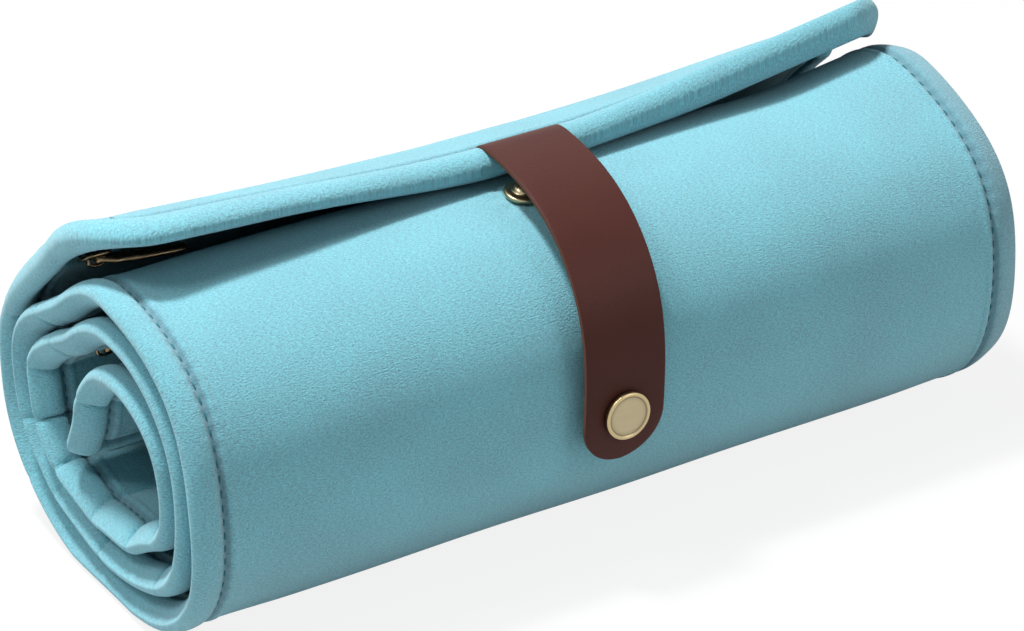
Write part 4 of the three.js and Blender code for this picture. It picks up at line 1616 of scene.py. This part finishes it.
@dataclass
class Zip:
    """One zip across the lining: tapes, teeth, end stops, pocket sheet, slider and pull.

    Heights are measured from the sheet's middle line towards the lining's open side. A tooth and a stop are
    rows of sections, each with its reach and its share of the full size. A plate has the heights of its two
    sides, half its length and half its width.
    """

    winding: Winding
    tape: bpy.types.Material
    lining: bpy.types.Material
    brass: bpy.types.Material
    name: str
    run: float
    body: str
    slider_body: str
    pull_body: str
    pocket_deep: float
    level: float = 1.6
    end_x: float = 109.4
    # Tapes.
    tape_wide: float = 8.0
    tape_near: float = 2.5
    tape_half: float = 0.3
    bead: float = 0.25
    bead_in: float = 0.5
    bead_half: float = 0.7
    # Teeth and stops.
    teeth_x: float = 108.2
    tooth_first: float = 0.6
    tooth_last: float = 0.8
    tooth_pitch: float = 2.0
    tooth_wide: float = 0.85
    tooth_high: float = 0.8
    tooth_round: float = 1.08
    tooth_reach: Row = (-0.5, 0.2, 1.2, 2.0, 2.2)
    tooth_share: Row = (0.7, 1.0, 0.82, 1.0, 0.8)
    stop_reach: Row = (0.35, 0.5, 0.75, 1.0, 1.15)
    stop_share: Row = (0.75, 1.0, 1.0, 1.0, 0.75)
    stop_wide: float = 2.1
    stop_high: float = 0.85
    # Pocket sheet.
    pocket_start: float = 5.2
    pocket_inset: float = 1.0
    pocket_low: float = 0.5
    pocket_high: float = 0.95
    pocket_steps: int = 60
    # Slider and its bail.
    slider_x: float = -103.8
    plates: tuple[Row, ...] = ((2.7, 3.75, 4.0, 3.5), (-0.3, 0.35, 3.9, 3.3))
    plate_inset: Row = (0.5, 0.12, 0.0, 0.0, 0.12, 0.5, 1.6)
    plate_level: Row = (0.0, 0.0, 0.2, 0.75, 0.95, 1.04, 1.12)
    plate_taper: float = 0.12
    bail_half: float = 2.1
    bail_foot: float = 4.55
    bail_high: float = 1.15
    bail_leg: float = 5.0
    bail_thick: float = 0.36
    bail_wide: float = 0.7
    # Pull and its eye.
    pull_long: float = 24.0
    pull_back: float = 0.5
    pull_neck: float = 2.3
    pull_wide: float = 3.2
    neck_span: Span = (6.0, 6.0)
    pull_level: float = 4.5
    pull_half: float = 0.75
    eye_x: float = 1.75
    eye_long: float = 1.3
    eye_wide: float = 1.05
    pull_droop: float = 0.0
    pull_roll: float = 0.0
    roll_over: float = 5.0

    def on_lining(self, across: Array, x: Array, up: Array) -> Array:
        """Points at a distance across the zip's line, along it, and towards the lining's open side."""
        return self.winding.place(self.run + across, x, -up)

    def build_tapes(self) -> list[Piece]:
        """Makes the two woven tapes: flat strips with a rounded bead next to the teeth.

        Returns:
            The two pieces.
        """
        made = []
        x = np.linspace(-self.end_x, self.end_x, 110)[:, None]
        turn = full_turn(24)
        reach = self.tape_near + self.tape_wide / 2 - squarer(np.cos(turn), 0.6) * self.tape_wide / 2
        bead = self.bead * hump(reach, (self.tape_near + self.bead_in, self.bead_half))
        up = self.level + (self.tape_half + bead) * squarer(np.sin(turn), 0.5)
        for half, sign in (("outer", -1.0), ("inner", 1.0)):
            rings = self.on_lining(sign * reach[None, :], x, up[None, :])
            piece = make_piece(f"{self.name}_{half}_tape", *capped_tubes(rings[None]), self.tape)
            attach(piece, self.body)
            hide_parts(f"{self.name}_tape_{half}")
            made.append(piece)
        return made

    def build_teeth(self) -> list[Piece]:
        """Makes the two rows of teeth, set half a pitch apart so that they mesh, and the end stops.

        A tooth's sections are octagons, and a stop's are squarish rings.

        Returns:
            The four pieces.
        """
        made = []
        turn = full_turn(8) + math.pi / 8
        first, last = -self.teeth_x + self.tooth_first, self.teeth_x - self.tooth_last
        share = np.array(self.tooth_share)[None, :, None] * self.tooth_round
        for half, sign, shift in (("outer", -1.0, 0.0), ("inner", 1.0, 0.5)):
            middles = np.arange(first, last, self.tooth_pitch) + shift * self.tooth_pitch
            x = middles[:, None, None] + share * self.tooth_wide / 2 * np.cos(turn)
            up = self.level + share * self.tooth_high * np.sin(turn)
            rings = self.on_lining(sign * np.array(self.tooth_reach)[None, :, None], x, up)
            piece = make_piece(f"{self.name}_{half}_teeth", *capped_tubes(rings), self.brass)
            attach(piece, self.body)
            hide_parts(f"{self.name}_teeth_{half}")
            made.append(piece)
        share = np.array(self.stop_share)[:, None]
        across = share * self.stop_wide * squarer(np.cos(turn), 0.5)
        up = self.level + share * self.stop_high * squarer(np.sin(turn), 0.5)
        for end, sign in (("left", -1.0), ("right", 1.0)):
            rings = self.on_lining(across, sign * (self.teeth_x + np.array(self.stop_reach))[:, None], up)
            piece = make_piece(f"{self.name}_{end}_stop", *capped_tubes(rings[None]), self.brass)
            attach(piece, self.body)
            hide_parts(f"{self.name}_stop_{end}")
            made.append(piece)
        return made

    def build_pocket(self) -> Piece:
        """Makes the pocket's thin cloth sheet behind the lining.

        Returns:
            The new piece.
        """
        start, end, steps = self.pocket_start, self.end_x - self.pocket_inset, self.pocket_steps
        runs = np.linspace(start, self.pocket_deep, steps)
        across = np.concatenate([runs, runs[::-1]])
        up = np.repeat([self.pocket_low, self.pocket_high], steps)
        x = np.linspace(-end, end, steps)[:, None]
        rings = self.on_lining(across[None, :], x, up[None, :])
        piece = make_piece(f"{self.name}_pocket_cloth", *flat_tube(rings), self.lining)
        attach(piece, self.body)
        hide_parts(f"{self.name}_pocket_sheet")
        wide, deep = 2.0 * end * MM, (self.pocket_deep - start) * MM
        return piece

    def local(self, x: Array, across: Array, up: Array) -> Array:
        """Points in the slider's own frame, at its rest place on the zip's line.

        Args:
            x: distance along the zip.
            across: distance across it.
            up: distance from the middle line towards the open side.

        Returns:
            Places in millimetres.
        """
        zero, rest = np.array(0.0), np.array(self.slider_x)
        along = np.array([1.0, 0.0, 0.0])
        origin = self.on_lining(zero, rest, zero)
        out = self.on_lining(zero, rest, np.array(1.0)) - origin
        x, across, up = np.broadcast_arrays(x, across, up)
        return origin + x[..., None] * along + across[..., None] * np.cross(out, along) + up[..., None] * out

    def plate(self, low: float, high: float, long: float, wide: float) -> tuple[Array, Array]:
        """One plate of the slider: squarish rings, inset at the top and bottom and narrower towards one end.

        Args:
            low: height of its underside.
            high: height of its top.
            long: half its length.
            wide: half its width.

        Returns:
            Its points and quads.
        """
        turn = full_turn(40)
        inset = np.array(self.plate_inset)[:, None]
        level = low + (high - low) * np.array(self.plate_level)[:, None]
        x = squarer(np.cos(turn), 0.55) * (long - inset)
        across = squarer(np.sin(turn), 0.6) * (wide - inset) * (1.0 - self.plate_taper * (x / long))
        return capped_tubes(self.local(x, across, level)[None])

    def bail(self) -> tuple[Array, Array]:
        """The bail over the slider's plate: a flat bar carried along half a turn with straight legs.

        Returns:
            Its points and quads.
        """
        arch = np.linspace(-0.25, 1.25, 18)
        swing = np.clip(arch, 0.0, 1.0) * math.pi
        leg = np.minimum(0.0, np.minimum(arch, 1.0 - arch)) * self.bail_leg
        line_x = -self.bail_half * np.cos(swing)
        line_up = self.bail_foot + self.bail_high * np.sin(swing) ** 0.7 + leg
        ahead = np.stack([np.gradient(line_x), np.gradient(line_up)], -1)
        ahead /= np.linalg.norm(ahead, axis=1, keepdims=True)
        bar = full_turn(12)
        thick = self.bail_thick * np.cos(bar)
        x = line_x[:, None] - ahead[:, 1:] * thick
        up = line_up[:, None] + ahead[:, :1] * thick
        return capped_tubes(self.local(x, self.bail_wide * squarer(np.sin(bar), 0.6), up)[None])

    def build_slider(self) -> Piece:
        """Makes the slider: a crowned top plate, a back plate and the bail over the top plate.

        Returns:
            The new piece.
        """
        parts = [*(self.plate(*sizes) for sizes in self.plates), self.bail()]
        counts = np.cumsum([0, *[len(p) for p, _ in parts]])
        points = np.concatenate([p for p, _ in parts])
        faces = np.concatenate([facing_out(p, f) + n for (p, f), n in zip(parts, counts)])
        piece = make_piece(f"{self.name}_slider_body", points, faces, self.brass)
        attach(piece, self.slider_body)
        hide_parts(f"{self.name}_slider")
        return piece

    def build_pull(self) -> Piece:
        """Makes the flat pull with its eye: a ring of sections between the tab's outline and the eye's.

        It hangs from the lining by a share of its length, and is rolled a little about its own line.

        Returns:
            The new piece.
        """
        turn, loop = full_turn(120), full_turn(16)
        share = (1.0 - np.cos(turn)) / 2
        x = -self.pull_back + (self.pull_long + self.pull_back) * share
        ends = np.sqrt(np.clip(1.0 - np.abs(2.0 * share - 1.0) ** 9, 0.0, 1.0))
        half = (self.pull_neck + (self.pull_wide - self.pull_neck) * rise(x, self.neck_span)) * ends
        outline = np.stack([x, np.sign(np.sin(turn)) * half], -1)
        middle = np.array([self.eye_x, 0.0])
        way = outline - middle
        angle = np.arctan2(way[:, 1], way[:, 0])
        eye = middle + np.stack([self.eye_long * np.cos(angle), self.eye_wide * np.sin(angle)], -1)
        part = 0.5 + 0.5 * squarer(np.cos(loop), 0.35)
        level = self.pull_level + self.pull_half * squarer(np.sin(loop), 0.5)
        flat = eye[:, None, :] + (outline - eye)[:, None, :] * part[None, :, None]
        along, across = flat[..., 0], flat[..., 1]
        hang = self.pull_droop * along + self.pull_roll * across * smooth(along / self.roll_over)
        points = self.local(along, across, level[None, :] + hang)
        faces = grid_faces(len(turn) + 1, len(loop), ring=True) % (len(turn) * len(loop))
        piece = make_piece(f"{self.name}_pull_tab", points.reshape(-1, 3), faces, self.brass)
        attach(piece, self.pull_body)
        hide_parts(f"{self.name}_pull")
        return piece

    def build(self) -> list[Piece]:
        """Makes the whole zip."""
        fixed = [*self.build_tapes(), *self.build_teeth(), self.build_pocket()]
        return [*fixed, self.build_slider(), self.build_pull()]


@dataclass
class Studio:
    """White table, soft lights and the camera. A light has its name, place and side in metres, and watts."""

    azimuth: float = -32.066
    elevation: float = 28.976
    distance: float = 943.92
    target: Triple = (-2.127, -1.035, 41.978)
    lens: float = 132.27
    sensor: float = 36.0
    far: float = 100.0
    lights: tuple[tuple[str, Triple, float, float], ...] = (
        ("overhead", (-0.26, 0.34, 1.32), 0.18, 24.0),
        ("left", (-0.75, 0.1, 1.15), 0.3, 5.5),
        ("front", (0.6, -0.95, 0.7), 0.6, 2.6),
    )
    aim: Triple = (0.0, 0.0, 0.045)
    white: Colour = (1.0, 1.0, 1.0, 1.0)
    table: Colour = (0.6, 0.6, 0.6, 1.0)
    table_glow: float = 0.86
    table_half: float = 3000.0
    table_drop: float = 0.05
    sky: float = 0.3

    def put(self, name: str, data: bpy.types.ID, spot: Sequence[float], back: Vector) -> Piece:
        """Puts a camera or light into the scene.

        Args:
            name: its name.
            data: the camera or light.
            spot: its place in metres.
            back: direction from what it looks at.

        Returns:
            The new object.
        """
        made = bpy.data.objects.new(name, data)
        made.location = spot
        made.rotation_mode = "QUATERNION"
        made.rotation_quaternion = (-back).to_track_quat("-Z", "Y")
        bpy.context.scene.collection.objects.link(made)
        return made

    def build_camera(self) -> None:
        """Places the camera by its two angles, its distance and the point it looks at."""
        a, e = math.radians(self.azimuth), math.radians(self.elevation)
        back = Vector((math.sin(a) * math.cos(e), -math.cos(a) * math.cos(e), math.sin(e)))
        data = bpy.data.cameras.new("camera")
        data.lens, data.sensor_width, data.clip_end = self.lens, self.sensor, self.far
        spot = (Vector(self.target) + back * self.distance) * MM
        bpy.context.scene.camera = self.put("camera", data, spot, back)

    def build_lights(self) -> None:
        """Makes the square soft lights, which look at the middle of the roll."""
        for name, spot, size, power in self.lights:
            data = bpy.data.lights.new(name, "AREA")
            data.size, data.energy = size, power
            self.put(name, data, spot, Vector(spot) - Vector(self.aim))

    def build_floor(self) -> None:
        """White table top, lighter to the camera than by its light alone, so that only the shadow shows."""
        top = Finish("white_table", Base_Color=self.table, Roughness=0.9)
        glow = top.node("ShaderNodeEmission", None, {"Color": self.white, "Strength": 1.0})
        lit = Value(top, top.shader.outputs[0])
        mixed = top.node("ShaderNodeMixShader", None, {0: top.seen() * self.table_glow, 1: lit, 2: glow})
        top.feed(top.output.inputs[0], mixed)
        x, y = np.meshgrid([-self.table_half, self.table_half], [-self.table_half, self.table_half])
        points = np.stack([x, y, np.full_like(x, -self.table_drop)], -1).reshape(-1, 3)
        floor = make_piece("table_top", points, grid_faces(2, 2), top.material)

    def build_world(self) -> None:
        """Even soft light from all round, white where the camera or a mirror sees it."""
        world = bpy.data.worlds.new("studio")
        world.use_nodes = True
        sky = Nodes(world.node_tree)
        soft, bright = (
            sky.node("ShaderNodeBackground", None, {"Color": self.white, "Strength": power})
            for power in (self.sky, 1.0)
        )
        mixed = sky.node("ShaderNodeMixShader", None, {0: sky.seen(), 1: soft, 2: bright})
        sky.feed(sky.tree.nodes.new("ShaderNodeOutputWorld").inputs[0], mixed)
        bpy.context.scene.world = world

    def build(self) -> None:
        """Makes the camera, lights, floor and world."""
        self.build_camera()
        self.build_lights()
        self.build_floor()
        self.build_world()
        bpy.context.scene.view_settings.view_transform = "Standard"


def main() -> None:
    """Builds the roll's pieces in order and dresses the solids that stay."""
    logging.basicConfig(level=logging.INFO, format="%(name)s: %(message)s")
    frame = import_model()
    velvet = Velvet().make()
    leather = Leather().make()
    snap_brass = Brass("snap_brass", (0.50, 0.43, 0.275, 1.0), (0.38, 0.32, 0.195, 1.0), 0.22).make()
    # The zip's brass is darker than the snap's as painted shade: it stands in for the dark cloth that the
    # metal reflects under the flap.
    zip_brass = Brass("zip_brass", (0.34, 0.25, 0.15, 1.0), (0.20, 0.145, 0.085, 1.0), 0.16).make()
    tape = Weave("aqua_tape", (0.06, 0.26, 0.33, 1.0), (0.12, 0.38, 0.46, 1.0)).make()
    lining = Weave("aqua_lining", (0.10, 0.36, 0.44, 1.0), (0.17, 0.48, 0.57, 1.0)).make()
    # The thread's darker teal is painted shade from the stitch groove; the thread itself is the velvet's
    # colour.
    thread = Weave("groove_shaded_thread", (0.012, 0.15, 0.20, 1.0), (0.03, 0.24, 0.30, 1.0), threads=5200.0).make()
    winding = Winding()
    strap = Strap(winding, leather, snap_brass)
    studs = [(winding.run_at(angle), x) for _, angle, x in strap.stud_seats()]
    sheet = PaddedSheet(winding, velvet, studs)
    flap_run, inner_run = sheet.zip_runs
    flap_bodies, inner_bodies = ("flap", "flap_slider", "flap_pull"), ("roll", "inner_slider", "inner_pull")
    made_of = (winding, tape, lining, zip_brass)
    parts = [
        sheet,
        Stitching(sheet, thread),
        strap,
        Zip(*made_of, "flap_zip", flap_run, *flap_bodies, pocket_deep=33.0, pull_droop=0.08, pull_roll=0.4),
        Zip(*made_of, "inner_zip", inner_run, *inner_bodies, pocket_deep=90.0),
    ]
    for part in parts:
        for piece in part.build():
            LOG.info("%s: %s, %d faces", type(part).__name__, piece.name, len(piece.data.polygons))
    for name in ("stud_back_lower", "stud_back_upper"):
        frame["nodes"][name].data.materials.clear()
        frame["nodes"][name].data.materials.append(snap_brass)
        LOG.info("solid kept: %s", name)
    Studio().build()


if __name__ == "__main__":
    main()
